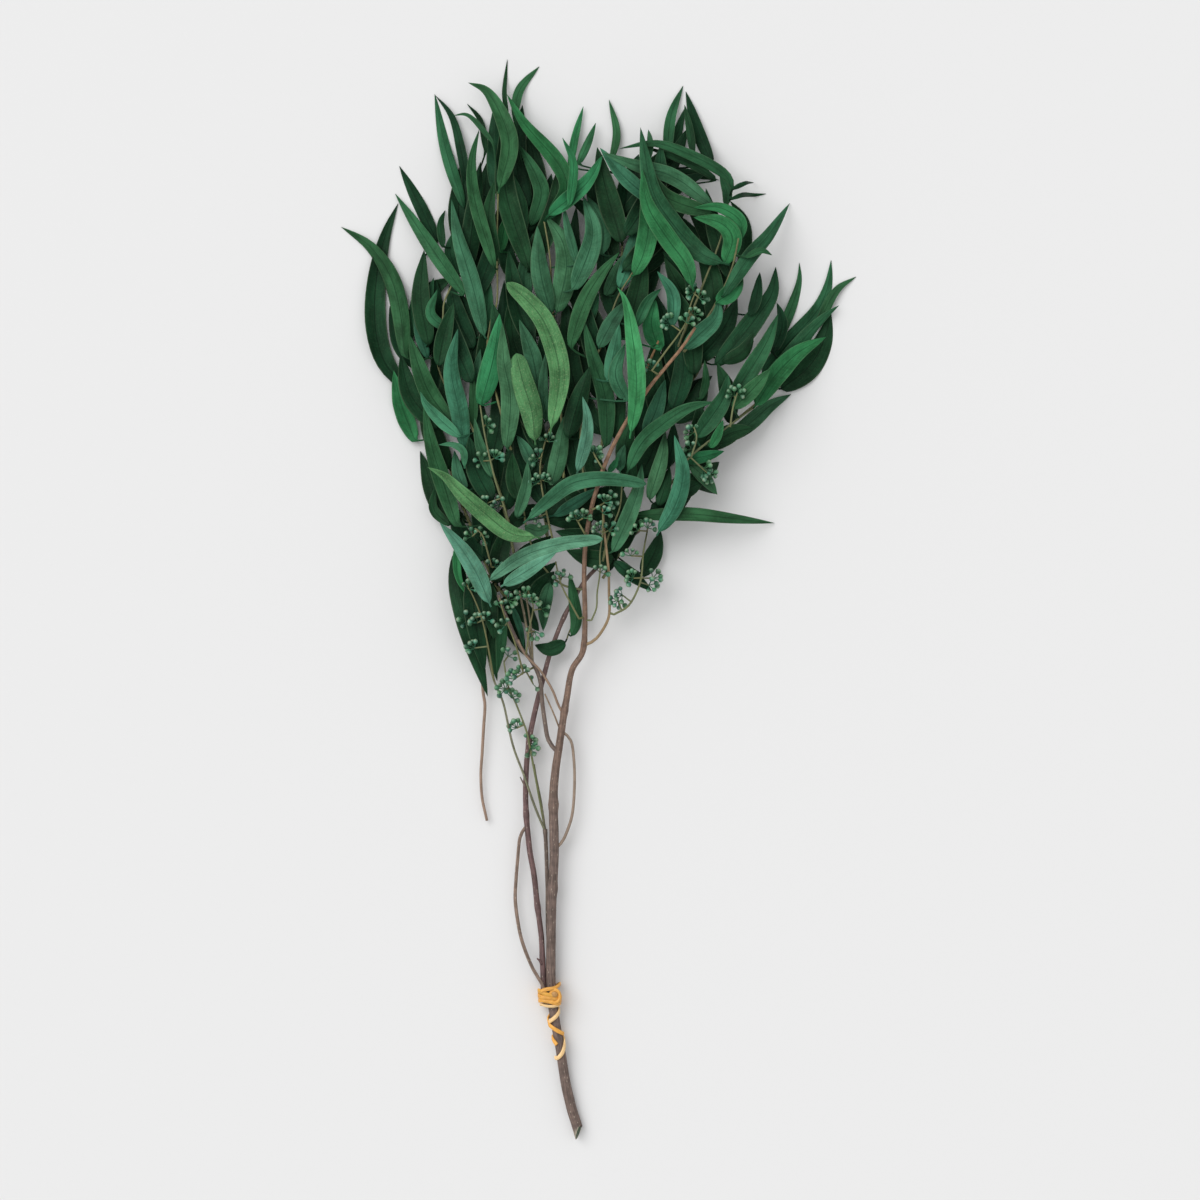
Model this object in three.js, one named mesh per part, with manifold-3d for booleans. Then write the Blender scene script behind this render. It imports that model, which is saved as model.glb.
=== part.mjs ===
// A tied bunch of seeded willow eucalyptus, lying flat. Millimetres, +Z up, +Y from the tie to the leaf tips.
// Plan places are measured from the rubber band's knot; the last lines move the origin under the middle.
import * as THREE from "three";
import { mergeVertices } from "three/addons/utils/BufferGeometryUtils.js";
import Module from "manifold-3d";

const wasm = await Module();
wasm.setup();

// ---- driving dimensions ----
const LEAF_THICKNESS = 1.1;
const STALK_HALF_WIDTH = 0.8;
const STALK_LENGTH = 6;
const WIDEST_AT = 0.38;
const LEAF_STEP = 30;
const BUD_RADIUS = 2.3;
const BUD_STALK_RADIUS = 0.5;
const UMBEL_RADIUS = 6.5;
const UMBEL_OFFSET = 3.5;
const BAND_WIDTH = 3.2;
const BAND_THICKNESS = 1.6;
const CLEARANCE = 0.4;

// How the bunch is laid: springy foliage over a shallow dome of hidden twigs.
const DOME = { x: 25, y: 430, halfWidth: 125, halfLength: 235, rise: 12 };
const LEAF_SLOPE = 0.45;
const TWIG_SLOPE = 0.3;
const AIR_GAP = 0.5;
const SPRING = 0.4;
const CELL = 2;
const FIELD = { x0: -180, y0: -120, columns: 220, rows: 420 };
const BARE_STEM_END = 236;

const COLOUR = {
  bark: 0x8d7a70,
  plumBark: 0x6d5454,
  orangeBark: 0xa87c5c,
  oliveTwig: 0x7d7a5c,
  darkLeaf: 0x31493c,
  leaf: 0x4a6b57,
  frontLeaf: 0x6b9078,
  bud: 0x7fae93,
  band: 0xdca94a,
};

// Lower sprigs. A twig is its thickness, then x, y places; a leaf is its width, then x, y from stalk to tip.
const UNDER_SPRIGS = {
  left_under_sprig: {
    twig: [2.2, -38, 290, -52, 325, -66, 360, -78, 400, -90, 445, -98, 490, -92, 532],
    leaves: [
      [11, -98, 492, -87, 507, -71, 517],
      [12, -85, 425, -80, 450, -83, 478],
      [11, -91, 450, -107, 468, -116, 497],
      [12, -60, 340, -80, 354, -94, 392],
      [12, -46, 313, -62, 328, -71, 352],
      [12, -45, 312, -40, 332, -33, 352],
      [13, -51, 326, -49, 352, -44, 378, -40, 400],
      [13, -62, 352, -58, 382, -54, 414],
      [13, -80, 412, -72, 442, -74, 474],
      [13, -93, 458, -84, 485, -82, 515],
      [13, -103, 436, -119, 455, -126, 480, -126, 512, -120, 545, -110, 571],
      [7, -104, 458, -98, 500, -94, 521],
      [8, -81, 542, -95, 571, -109, 598],
      [9, -88, 458, -94, 480, -92, 510],
      [7, -93, 482, -88, 500, -84, 517],
      [13, -97, 398, -107, 424, -113, 450],
      [13, -72, 378, -86, 408, -90, 446],
      [6, -72, 338, -84, 350, -83, 366],
      [13, -80, 408, -100, 432, -108, 462],
      [12, -87, 467, -93, 502, -91, 537],
    ],
  },
  left_low_sprig: {
    twig: [2, -30, 284, -42, 299, -55, 311, -68, 324],
    leaves: [
      [10, -35, 292, -18, 318, 2, 331],
      [9, -30, 284, -13, 298, 5, 312],
      [9, -41, 297, -44, 262, -38, 226],
      [12, -38, 296, -36, 318, -28, 342],
      [13, -31, 291, -24, 304, -14, 326],
      [12, -34, 284, -27, 266, -18, 244],
      [11, -29, 286, -19, 276, -8, 262],
      [10, -50, 306, -47, 280, -44, 252],
      [13, -67, 321, -66, 297, -58, 262, -45, 215],
      [6, -68, 322, -66, 302, -60, 288],
      [9, -37, 284, -35, 257, -38, 231],
      [5, -27, 280, -21, 262, -19, 250],
      [13, -54, 308, -54, 276, -47, 232],
      [10, -44, 298, -43, 280, -40, 256],
    ],
  },
  top_left_under_sprig: {
    twig: [2.2, -28, 330, -40, 380, -50, 430, -58, 480, -62, 530, -60, 572],
    leaves: [
      [10, -61, 505, -52, 525, -53, 552],
      [11, -52, 445, -35, 480, -33, 515],
      [10, -55, 455, -58, 482, -65, 508],
      [10, -35, 358, -38, 385, -35, 405],
      [10, -29, 336, -20, 346, -5, 353],
      [11, -42, 388, -50, 408, -52, 436],
      [12, -60, 542, -50, 566, -45, 602],
      [13, -32, 348, -26, 380, -28, 410],
      [13, -42, 386, -36, 415, -38, 450],
      [14, -50, 432, -45, 464, -43, 500],
      [13, -55, 465, -66, 486, -72, 514],
      [13, -61, 530, -66, 565, -62, 605],
      [9, -61.5, 566, -75.5, 610, -83.5, 650],
      [6, -60, 572, -61, 590, -65, 613, -71, 634, -83, 649],
      [9, -66, 518, -72, 535, -68, 552],
      [5, -77, 538, -79, 555, -76, 566],
      [8, -72, 478, -86, 490, -81, 508],
      [14, -39, 577, -39, 612, -40, 643],
      [9, -48, 474, -45, 505, -50, 529],
      [9, -54, 421, -53, 445, -50, 465],
      [7, -56, 407, -55, 425, -56, 450],
      [13, -56, 440, -68, 468, -76, 500],
      [12, -60, 520, -55, 560, -50, 600],
      [12, -54, 500, -40, 540, -34, 575],
      [4, -46, 606, -50, 630, -60, 643],
    ],
  },
  top_middle_under_sprig: {
    twig: [2.4, -2, 330, -6, 380, -10, 430, -14, 480, -16, 530, -16, 575],
    leaves: [
      [11, -16, 508, -31, 530, -30, 558],
      [9, -6, 382, 2, 402, 10, 427],
      [9, -3, 342, -3, 366, 1, 393],
      [10, -11, 474, -5, 488, 0, 510],
      [12, -12, 442, -26, 470, -28, 506],
      [14, -4, 352, -16, 380, -21, 408, -24, 432],
      [14, -7, 390, -15, 422, -17, 458],
      [13, -11, 436, -2, 464, 0, 502],
      [14, -16, 530, -5, 560, 1, 592],
      [14, -16, 548, -10, 585, -16, 625],
      [13, -16, 565, -24, 600, -20, 642],
      [13, -3, 345, 8, 362, 14, 384],
      [12, -14, 553, -6, 575, -10, 590, -22, 612],
      [12, -22, 541, -21, 566, -26, 590],
      [9, -36, 534, -33, 550, -28, 564],
      [12, -19, 488, -18, 520, -12, 548],
      [7, -26, 631, -22, 653, -8, 670],
      [3, -30, 630, -33, 650, -31, 675],
      [13, -12, 466, -24, 500, -30, 536],
      [13, -8, 432, -12, 458, -22, 486],
      [8, -2, 412, -5, 435, -3, 462],
      [13, -16, 520, 2, 560, 6, 596],
      [13, -14, 520, -32, 580, -32, 638],
      [12, -8, 400, -20, 430, -24, 462],
    ],
  },
  top_right_under_sprig: {
    twig: [2.4, 28, 335, 38, 400, 46, 450, 50, 500, 52, 550, 50, 592],
    leaves: [
      [11, 44, 424, 28, 448, 24, 481],
      [11, 47, 457, 22, 476, 8, 503],
      [12, 47, 529, 43, 543, 49, 564],
      [12, 52, 556, 34, 572, 30, 594],
      [11, 52, 545, 26, 566, 13, 575],
      [9, 51, 586, 84, 606, 98, 641],
      [8, 52, 572, 92, 592, 122, 588],
      [11, 29, 344, 36, 358, 54, 366],
      [12, 42, 428, 34, 458, 32, 492],
      [13, 50, 482, 42, 512, 36, 546],
      [13, 52, 560, 57, 584, 64, 606],
      [12, 29, 338, 14, 342, -4, 341],
      [13, 28, 338, 22, 352, 8, 366],
      [14, 32, 352, 19, 385, 15, 420, 18, 450],
      [14, 38, 402, 20, 432, 13, 466, 11, 504],
      [14, 47, 462, 26, 492, 17, 530, 19, 568],
      [13, 50, 498, 66, 508, 80, 530],
      [13, 51, 520, 74, 530, 92, 550],
      [13, 52, 548, 84, 578, 114, 594],
      [13, 52, 560, 82, 590, 100, 626],
      [12, 30, 345, 42, 348, 56, 358],
      [6, 44, 600, 48, 622, 42.5, 646],
      [6, 14, 595, 18, 618, 24, 641],
      [6, 20, 597, 27, 613, 33, 629],
      [12, 37, 532, 38, 553, 27, 575],
      [8, 84, 600, 87, 632, 96, 656],
      [8, 117, 597, 106, 625, 98, 652],
      [5, 103, 604, 101, 622, 97, 642],
      [5, 122, 585, 100, 598, 68, 610],
      [5, 71, 600, 72, 612, 71, 624],
      [10, 40, 503, 46, 515, 52, 532],
      [13, 50, 508, 58, 530, 62, 556],
      [8, 27, 482, 31, 494, 35, 505],
      [14, 50, 470, 62, 500, 68, 535],
      [14, 52, 540, 40, 580, 34, 610],
      [14, 54, 545, 76, 580, 80, 612],
      [13, 52, 520, 80, 548, 102, 576],
      [13, 44, 440, 30, 470, 24, 505],
    ],
  },
  right_under_sprig: {
    twig: [2.4, 44, 330, 62, 368, 84, 410, 104, 445, 122, 480, 133, 516],
    leaves: [
      [11, 106, 450, 84, 480, 74, 509],
      [10, 116, 468, 100, 505, 81, 535],
      [11, 132, 508, 109, 540, 94, 561],
      [11, 64, 373, 86, 389, 89, 413],
      [11, 92, 424, 86, 450, 84, 479],
      [11, 89, 419, 103, 435, 117, 446],
      [13, 116, 474, 98, 500, 82, 530],
      [13, 86, 414, 103, 424, 113, 448],
      [12, 71, 386, 66, 418, 70, 450],
      [13, 64, 372, 74, 392, 80, 420],
      [14, 82, 408, 75, 440, 76, 474],
      [13, 95, 430, 88, 466, 78, 502],
      [13, 128, 500, 118, 538, 98, 570],
      [12, 110, 455, 108, 490, 96, 520],
      [14, 103, 455, 118, 470, 128, 485, 135, 502],
      [13, 118, 452, 135, 470, 148, 487, 160, 505, 163, 525],
      [7, 143, 488, 148, 500, 151, 520],
      [9, 124, 455, 138, 462, 146, 476],
      [8, 139, 520, 141, 555, 130, 573],
      [9, 81, 414, 90, 428, 99, 450],
      [12, 68, 403, 76, 420, 83, 443],
      [6, 108, 428, 112, 440, 111, 456],
      [8, 47, 400, 50, 420, 52, 440],
      [13, 88, 420, 96, 450, 92, 480],
      [13, 104, 445, 100, 480, 86, 512],
      [13, 118, 478, 116, 515, 104, 548],
      [12, 132, 512, 120, 545, 112, 580],
      [12, 60, 366, 54, 392, 60, 420],
    ],
  },
  far_right_sprig: {
    twig: [2.2, 92, 372, 110, 391, 128, 409, 146, 424, 162, 437, 176, 452],
    leaves: [
      [12, 97, 377, 106, 400, 108, 428],
      [13, 102, 383, 114, 404, 122, 430],
      [11, 130, 411, 128, 432, 120, 454],
      [12, 126, 399, 142, 410, 158, 424, 174, 433],
      [15, 166, 436, 186, 452, 197, 470, 203, 492],
      [12, 152, 446, 172, 470, 193, 493, 201, 512, 203, 530],
      [7, 192, 480, 206, 507, 221, 518],
      [10, 160, 447, 178, 468, 197, 488, 208.5, 497],
      [8, 160, 462, 174, 495, 180, 515, 180, 528],
      [8, 160, 462, 167, 480, 166, 490, 163, 498],
      [13, 128, 425, 143, 448, 155, 468, 164, 490],
      [12, 112, 394, 130, 404, 146, 408],
    ],
  },
  lower_right_sprig: {
    twig: [2.2, 38, 300, 50, 318, 62, 334, 76, 352, 90, 372, 104, 390],
    leaves: [
      [10, 100, 386, 112, 377, 122, 384],
      [9, 94, 378, 108, 389, 123, 396],
      [9, 90, 371, 106, 369, 120, 361],
      [10, 41, 304, 44, 325, 40, 350],
      [10, 50, 318, 58, 336, 72, 346],
      [13, 45, 320, 26, 328, 4, 334],
      [12, 72, 350, 88, 352, 104, 366],
      [10, 58, 345, 100, 346, 130, 343, 162, 340],
      [11, 66, 302, 75, 318, 80, 334],
      [10, 92, 360, 101, 365, 110, 369],
      [10, 101, 381, 110, 373, 120, 360],
      [9, 96, 384, 110, 387, 125, 391],
      [8, 78, 352, 82, 364, 86, 380],
      [11, 71, 356, 80, 385, 83, 406],
      [11, 46, 314, 30, 314, 12, 320],
      [10, 44, 332, 52, 344, 62, 350],
      [8, 46, 312, 60, 301, 73, 291],
      [12, 62, 336, 50, 352, 46, 376],
    ],
  },
};

// Upper sprigs, laid over the lower ones in this order.
const OVER_SPRIGS = {
  left_over_sprig: {
    twig: [2, -26, 318, -31, 345, -39, 370, -50, 395, -62, 420, -76, 440, -81, 460, -77, 485, -76, 498,
      -70, 512],
    leaves: [
      [10, -80, 452, -76, 474, -69, 498],
      [11, -60, 502, -80, 530, -98, 557, -112, 578],
      [13, -104, 456, -108, 492, -115, 518, -130, 540, -151, 554],
      [14, -70, 411, -86, 432, -95, 455, -101, 475],
      [14, -61, 392, -65, 420, -71, 450, -66, 479],
      [13, -66, 335, -78, 372, -85, 395, -91, 426],
      [9, -60, 362, -66, 375, -69, 392],
      [13, -41, 355, -53, 378, -58, 402],
      [8, -41, 372, -50, 395, -54, 415],
      [9, -64, 401, -78, 413, -89, 425, -93, 434],
    ],
  },
  top_left_over_sprig: {
    twig: [1.8, -28, 392, -38, 430, -45, 460, -42, 487, -38, 500, -38, 540, -37, 577],
    leaves: [
      [9, -38, 528, -44, 556, -40, 585],
      [12, -41, 438, -36, 464, -41, 498],
      [10, -39, 521, -54, 572, -56, 600, -51, 623],
      [13, -47, 473, -56, 512, -66, 545, -71, 573],
      [16, -50, 423, -40, 460, -36, 490],
      [14, -31, 392, -28, 430, -33, 455, -34, 483],
      [4, -40, 612, -58, 633, -70, 634],
    ],
  },
  top_middle_over_sprig: {
    twig: [1.8, 10, 372, 8, 420, 6, 460, 2, 492, 0, 530, -4, 556],
    leaves: [
      [17, 5, 490, 12, 522, 9, 542, -3, 560],
      [14, 1, 489, -7, 520, -9, 553],
      [12, -2, 560, 13, 580, 3, 603, -18, 626, -31, 648],
      [7, 20, 524, 13, 550, 10, 567],
      [15, 17, 506, 31, 545, 24, 575],
      [13, 1, 366, 7, 391, 11, 418],
      [12, -1, 560, 26, 583, 38, 604],
      [7, 14, 566, 17, 597, 9, 617],
    ],
  },
  middle_over_sprig: {
    twig: [1.8, 26, 360, 22, 400, 26, 440, 38, 470, 48, 500, 60, 520],
    leaves: [
      [13, 41, 393, 40, 430, 31, 458, 24, 486],
      [12, 13, 400, 20, 425, 29, 452],
      [12, 14, 464, 24, 496, 36, 517, 50, 534],
      [12, 35, 465, 45, 484, 56, 500],
      [11, 42, 440, 46, 462, 50, 482],
      [11, 56, 426, 47, 446, 54, 468],
      [15, 60, 516, 68, 535, 71, 560, 66, 592],
      [14, 79, 463, 73, 482, 76, 500],
      [8, 62, 480, 70, 498, 80, 508],
    ],
  },
  upper_right_over_sprig: {
    twig: [1.8, 92, 466, 108, 506, 120, 536, 126, 556, 128, 570],
    leaves: [
      [12, 78, 567, 54, 587, 36, 609],
      [12, 117, 566, 90, 587, 60, 596, 38, 605],
      [8, 128, 572, 130, 585, 120, 594, 100, 604, 75, 612, 50, 608],
      [12, 116, 561, 83, 573, 68, 598],
      [6, 126, 567, 127, 577, 122, 588],
      [9, 135, 541, 137, 555, 122, 565, 103, 565],
      [14, 125, 524, 131, 543, 122, 554, 103, 558],
      [10, 88, 480, 88, 503, 77, 520],
      [3, 129, 571, 142, 576, 156, 578],
      [3, 130, 578, 138, 582, 147, 586],
    ],
  },
  branch_end_sprig: {
    twig: [2, 96, 462, 110, 482, 122, 502, 131, 524, 135, 543],
    leaves: [
      [13, 96, 464, 108, 475, 119, 486, 121, 500],
      [13, 119, 497, 131, 506, 137, 521],
      [11, 124, 501, 143, 530, 157, 546, 173, 571],
      [5, 140, 529, 151, 534, 159, 531],
    ],
  },
  right_over_sprig: {
    twig: [1.6, 92, 378, 104, 390, 118, 401, 132, 412, 146, 422],
    leaves: [
      [14, 104, 400, 115, 414, 125, 430, 127.5, 446],
      [15, 147, 423, 160, 443, 178, 462, 199, 474],
      [12, 131, 421, 146, 436, 158, 450],
      [7, 115, 393, 120, 402, 124, 413],
    ],
  },
  lower_middle_sprig: {
    twig: [1.6, 22, 292, 8, 296, -6, 310, -16, 332, -20, 360],
    leaves: [
      [12, -13, 284, -6, 293, 3, 305],
      [10, 0, 297, -4, 280, -5, 262],
      [9, -12, 380, -17, 392, -24, 403],
      [10, -22, 356, -26, 372, -27, 390],
      [9, -24, 343, -17, 365, -16, 384],
      [9, -18, 337, -8, 334, 1, 338],
      [9, 4, 345, 20, 355, 35, 365],
    ],
  },
  lower_leaf_pair: {
    twig: [1.3, 22, 272, 15, 264, 12, 256],
    leaves: [
      [9, 15.5, 258, 19, 269, 17, 286, 14, 304],
      [9, 11, 254, 0, 249, -11, 252],
    ],
  },
  centre_right_sprig: {
    twig: [1.6, 38, 312, 42, 330, 50, 350, 52, 372],
    leaves: [
      [12, 45, 318, 57, 345, 64, 365, 66, 382],
      [8, 50, 377, 51, 387, 54, 396],
      [5, 42, 376, 46, 381, 49, 387],
      [12, 40, 368, 31, 382, 36, 396],
    ],
  },
};

// Single leaves that lie on top: name, width, whether the tip is cut blunt, then x, y from stalk to tip.
const FRONT_LEAVES = [
  ["crown_leaf", 13, false, -36, 579, -29, 608, -33, 628, -45, 650, -59, 657],
  ["pale_leaf", 17, true, -10.5, 398, -13, 420, -19, 440, -24, 461],
  ["speckled_leaf", 15.5, true, 1, 407, 7, 440, 5, 460, -4, 484, -18, 501, -31, 512],
  ["bright_leaf", 13, false, 58, 404, 62, 430, 61, 458, 57, 487, 53, 502, 48.5, 508.5],
  ["upper_long_leaf", 16, false, 124, 525, 108, 532, 88, 553, 73, 578, 65, 623],
  ["upper_bright_leaf", 14.5, false, 102, 508, 97, 525, 84, 543, 70, 566, 66, 592],
  ["white_tip_leaf", 12, false, 56, 377, 66, 397, 82, 411, 100, 422, 118, 426],
  ["teal_leaf", 13, false, 78, 333, 90, 353, 95, 376, 89, 402],
  ["bluish_leaf", 9.5, false, 20, 376, 26, 398, 27, 415, 23.5, 430],
  ["cross_leaf", 11.5, true, -16, 342, 0, 356, 15, 367, 33, 371, 52, 370, 69, 367],
  ["lower_cross_leaf", 11, true, -44, 298, -24, 313, -8, 320, 12, 325, 38, 328],
  ["short_cross_leaf", 10.5, false, -33, 295, -18, 304, 5, 318.5],
  ["left_front_leaf", 13.5, false, -43, 282, -52, 303, -64, 322, -79, 340],
  ["long_diagonal_leaf", 13.5, false, -10, 329, -28, 332, -45, 345, -62, 360, -75, 373, -88, 380],
  ["curled_leaf", 5.5, false, -61, 380, -62, 391, -70, 396, -80, 396],
];

// Twigs with bud clusters. An umbel is its hub's x, y, the way its fan faces in degrees, and its buds.
const SEED_TWIGS = {
  left_seed_twig: {
    twig: [1.6, -26, 318, -31, 345, -39, 370, -46, 400, -50, 424],
    umbels: [[-40, 386, 60, 6], [-48, 384, 150, 4], [-36, 352, 140, 5], [-45, 354, 160, 5],
      [-46, 410, 20, 4],],
  },
  lower_left_seed_twig: {
    twig: [1.5, -42, 308, -48, 330, -54, 336],
    umbels: [[-50, 330, 20, 4], [-56, 330, 120, 4], [-40, 308, 60, 5],],
  },
  middle_seed_twig: {
    twig: [1.5, 2, 328, -3, 350, -7, 375, -5, 392, 0, 408],
    umbels: [[-1, 398, 80, 5], [-8, 386, 150, 5], [-9, 368, 130, 5], [-4, 370, 60, 5],
      [-8, 344, 200, 4],],
  },
  outer_left_seed_twig: {
    twig: [1.4, -40, 226, -47, 265, -54, 285, -60, 296],
    umbels: [[-52, 268, 120, 6], [-54, 250, 150, 6], [-58, 292, 60, 4], [-46, 270, 60, 5],
      [-60, 270, 170, 3],],
  },
  hanging_seed_twig: {
    twig: [1.5, -14, 176, -17, 190, -24, 208, -30, 222, -33, 240],
    umbels: [[-16, 182, 30, 6], [-14, 178, -30, 4], [-24, 192, 120, 6], [-28, 214, 60, 6],
      [-32, 220, 150, 6], [-30, 244, 60, 4],],
  },
  inner_left_seed_twig: {
    twig: [1.4, -19, 232, -25, 254, -32, 272, -36, 286],
    umbels: [[-20, 231, 120, 5], [-25, 228, 150, 5], [-12, 224, 30, 2], [-32, 266, 150, 4],
      [-34, 278, 60, 5], [-30, 284, 20, 5],],
  },
  centre_seed_twig: {
    twig: [1.3, -17, 246, -15, 262, -12, 280, -16, 292],
    umbels: [[-11, 262, 250, 5], [-14, 283, 60, 5], [-18, 288, 130, 4], [-6, 278, 20, 3],],
  },
  olive_seed_twig: {
    twig: [1.4, 21, 271, 15, 282, 8, 296, 4, 312],
    umbels: [[8, 299, 140, 4], [9, 301, 70, 3],],
  },
  stem_seed_umbels: {
    twig: [1.4, 25, 332, 20, 341, 18, 347],
    umbels: [[19, 342, 110, 6], [24, 343, 60, 5],],
  },
  branch_seed_umbels: {
    twig: [1.4, 31, 349, 38, 353, 42, 356],
    umbels: [[39, 354, 50, 6], [43, 356, 10, 4],],
  },
  upper_seed_umbels: {
    twig: [1.4, 38, 378, 33, 386, 31, 390],
    umbels: [[32, 388, 50, 6], [33, 388, -10, 3],],
  },
  right_seed_twig: {
    twig: [1.6, 46, 274, 57, 281, 65, 298, 67, 318, 70, 334],
    umbels: [[70, 336, 70, 5], [63, 334, 120, 3], [58, 316, 100, 4], [60, 300, 150, 6],
      [74, 300, 20, 5], [52, 288, 180, 5], [49, 284, 240, 5], [71, 295, -20, 4],],
  },
  inner_right_seed_twig: {
    twig: [1.3, 30, 270, 33.5, 279, 34, 290, 36, 304, 36, 318, 38, 332],
    umbels: [[36, 304, 60, 4], [36, 334, 120, 5], [38, 346, 60, 4], [42, 334, 30, 4],],
  },
  top_seed_twig: {
    twig: [1.4, 73, 448, 83, 462, 92, 474, 98, 484, 101, 496, 105, 506],
    umbels: [[73, 449, 110, 5], [71, 450, 160, 3], [86, 482, 150, 6], [103, 504, 160, 6],
      [103, 488, 40, 5], [107, 500, 20, 4], [98, 482, 60, 4],],
  },
  far_right_seed_twig: {
    twig: [1.4, 129, 408, 131, 422, 134, 432],
    umbels: [[132, 430, 110, 4], [134, 432, 50, 4],],
  },
  outer_right_seed_twig: {
    twig: [1.4, 101, 386, 105, 400, 103, 408],
    umbels: [[103, 404, 140, 5], [102, 392, 160, 4], [110, 378, -20, 6], [114, 374, -60, 5],],
  },
};

// ---- plan curves ----
const lerp = THREE.MathUtils.lerp;

function pairs(numbers) {
  const points = [];
  for (let i = 0; i < numbers.length; i += 2) {
    points.push(new THREE.Vector3(numbers[i], numbers[i + 1], 0));
  }
  return points;
}

function smoothThrough(points) {
  return new THREE.CatmullRomCurve3(points, false, "catmullrom", 0.5);
}

// One place along a curve, with the unit vector to its right-hand side in plan.
function placeOn(curve, u) {
  const at = curve.getPointAt(u);
  const along = curve.getTangentAt(u);
  const flat = Math.hypot(along.x, along.y) || 1;
  return { x: at.x, y: at.y, z: at.z, side: { x: along.y / flat, y: -along.x / flat } };
}

function domeHeight(x, y) {
  const across = (x - DOME.x) / DOME.halfWidth;
  const length = (y - DOME.y) / DOME.halfLength;
  return DOME.rise * Math.max(0, 1 - across * across - length * length);
}

// A repeatable number from 0 to 1 for a leaf, so that no two leaves lie quite alike.
function chance(seed) {
  const s = Math.sin(seed * 127.1 + 11.7) * 43758.5453;
  return s - Math.floor(s);
}

// ---- the pile: how high the pieces laid so far reach, on a square grid ----
const pile = new Float32Array(FIELD.columns * FIELD.rows);

function cellOf(x, y) {
  return [Math.floor((x - FIELD.x0) / CELL), Math.floor((y - FIELD.y0) / CELL)];
}

function pileTop(x, y) {
  const [column, row] = cellOf(x, y);
  let top = 0;
  for (let r = row - 1; r <= row + 1; r++) {
    for (let c = column - 1; c <= column + 1; c++) {
      top = Math.max(top, pile[r * FIELD.columns + c]);
    }
  }
  return top;
}

function raisePile(x, y, z) {
  const [column, row] = cellOf(x, y);
  const cell = row * FIELD.columns + column;
  pile[cell] = Math.max(pile[cell], z);
}

// Visits the strip between stations i and i + 1 every millimetre, lengthways and across.
function overStrip(stations, i, visit) {
  const a = stations[i];
  const b = stations[i + 1];
  const steps = Math.max(1, Math.ceil(Math.hypot(b.x - a.x, b.y - a.y)));
  for (let k = 0; k <= steps; k++) {
    const f = k / steps;
    const rows = Math.max(1, Math.ceil(lerp(a.half, b.half, f)));
    for (let j = -rows; j <= rows; j++) {
      const s = j / rows;
      const x = lerp(a.x + a.side.x * a.half * s, b.x + b.side.x * b.half * s, f);
      const y = lerp(a.y + a.side.y * a.half * s, b.y + b.side.y * b.half * s, f);
      visit(x, y, f, s);
    }
  }
}

// How high the strip's middle line must be at each visited place: [share along the span, height].
function heightsNeeded(stations, i) {
  const [a, b] = [stations[i], stations[i + 1]];
  const needs = [];
  overStrip(stations, i, (x, y, f, s) => {
    const below = lerp(a.deep, b.deep, f) * (1 - s * s) - s * lerp(a.tilt, b.tilt, f);
    needs.push([f, pileTop(x, y) + AIR_GAP + below]);
  });
  return needs;
}

// Lays a strip on the pile: it starts clear of everything and each station is then let down onto it.
function settle(stations, slope, first = 0) {
  const last = stations.length - 1;
  const needs = stations.slice(0, last).map((_, i) => heightsNeeded(stations, i));
  const own = stations.map((station) => station.z);
  const highest = (i) => (needs[i] ? Math.max(...needs[i].map(([, height]) => height)) : 0);
  for (let i = first; i <= last; i++) {
    stations[i].z = Math.max(own[i], highest(i), i > first ? highest(i - 1) : 0) + SPRING;
  }
  const letDown = (i) => {
    let z = own[i];
    for (const [f, height] of needs[i] ?? []) {
      if (f < 1) z = Math.max(z, (height - f * stations[i + 1].z) / (1 - f));
    }
    for (const [f, height] of (i > first && needs[i - 1]) || []) {
      if (f > 0) z = Math.max(z, (height - (1 - f) * stations[i - 1].z) / f);
    }
    for (const j of [i - 1, i + 1]) {
      if (j < first || j > last) continue;
      const run = Math.hypot(stations[j].x - stations[i].x, stations[j].y - stations[i].y);
      z = Math.max(z, stations[j].z - slope * run);
    }
    stations[i].z = Math.min(stations[i].z, z);
  };
  for (let sweep = 0; sweep < 3; sweep++) {
    for (let i = last; i >= first; i--) letDown(i);
    for (let i = first; i <= last; i++) letDown(i);
  }
}

function addToPile(stations, thickness) {
  for (let i = 0; i + 1 < stations.length; i++) {
    const a = stations[i];
    const b = stations[i + 1];
    overStrip(stations, i, (x, y, f, s) => {
      raisePile(x, y, lerp(a.z + s * a.tilt, b.z + s * b.tilt, f) + thickness);
    });
  }
}

// ---- solids ----
function solidFrom(positions, indices) {
  let sixVolumes = 0;
  const corner = (i) => new THREE.Vector3().fromArray(positions, 3 * i);
  for (let i = 0; i < indices.length; i += 3) {
    const [a, b, c] = [corner(indices[i]), corner(indices[i + 1]), corner(indices[i + 2])];
    sixVolumes += a.dot(b.cross(c));
  }
  if (sixVolumes < 0) indices.reverse();
  return new wasm.Manifold(
    new wasm.Mesh({
      numProp: 3,
      vertProperties: new Float32Array(positions),
      triVerts: new Uint32Array(indices),
    }),
  );
}

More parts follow.
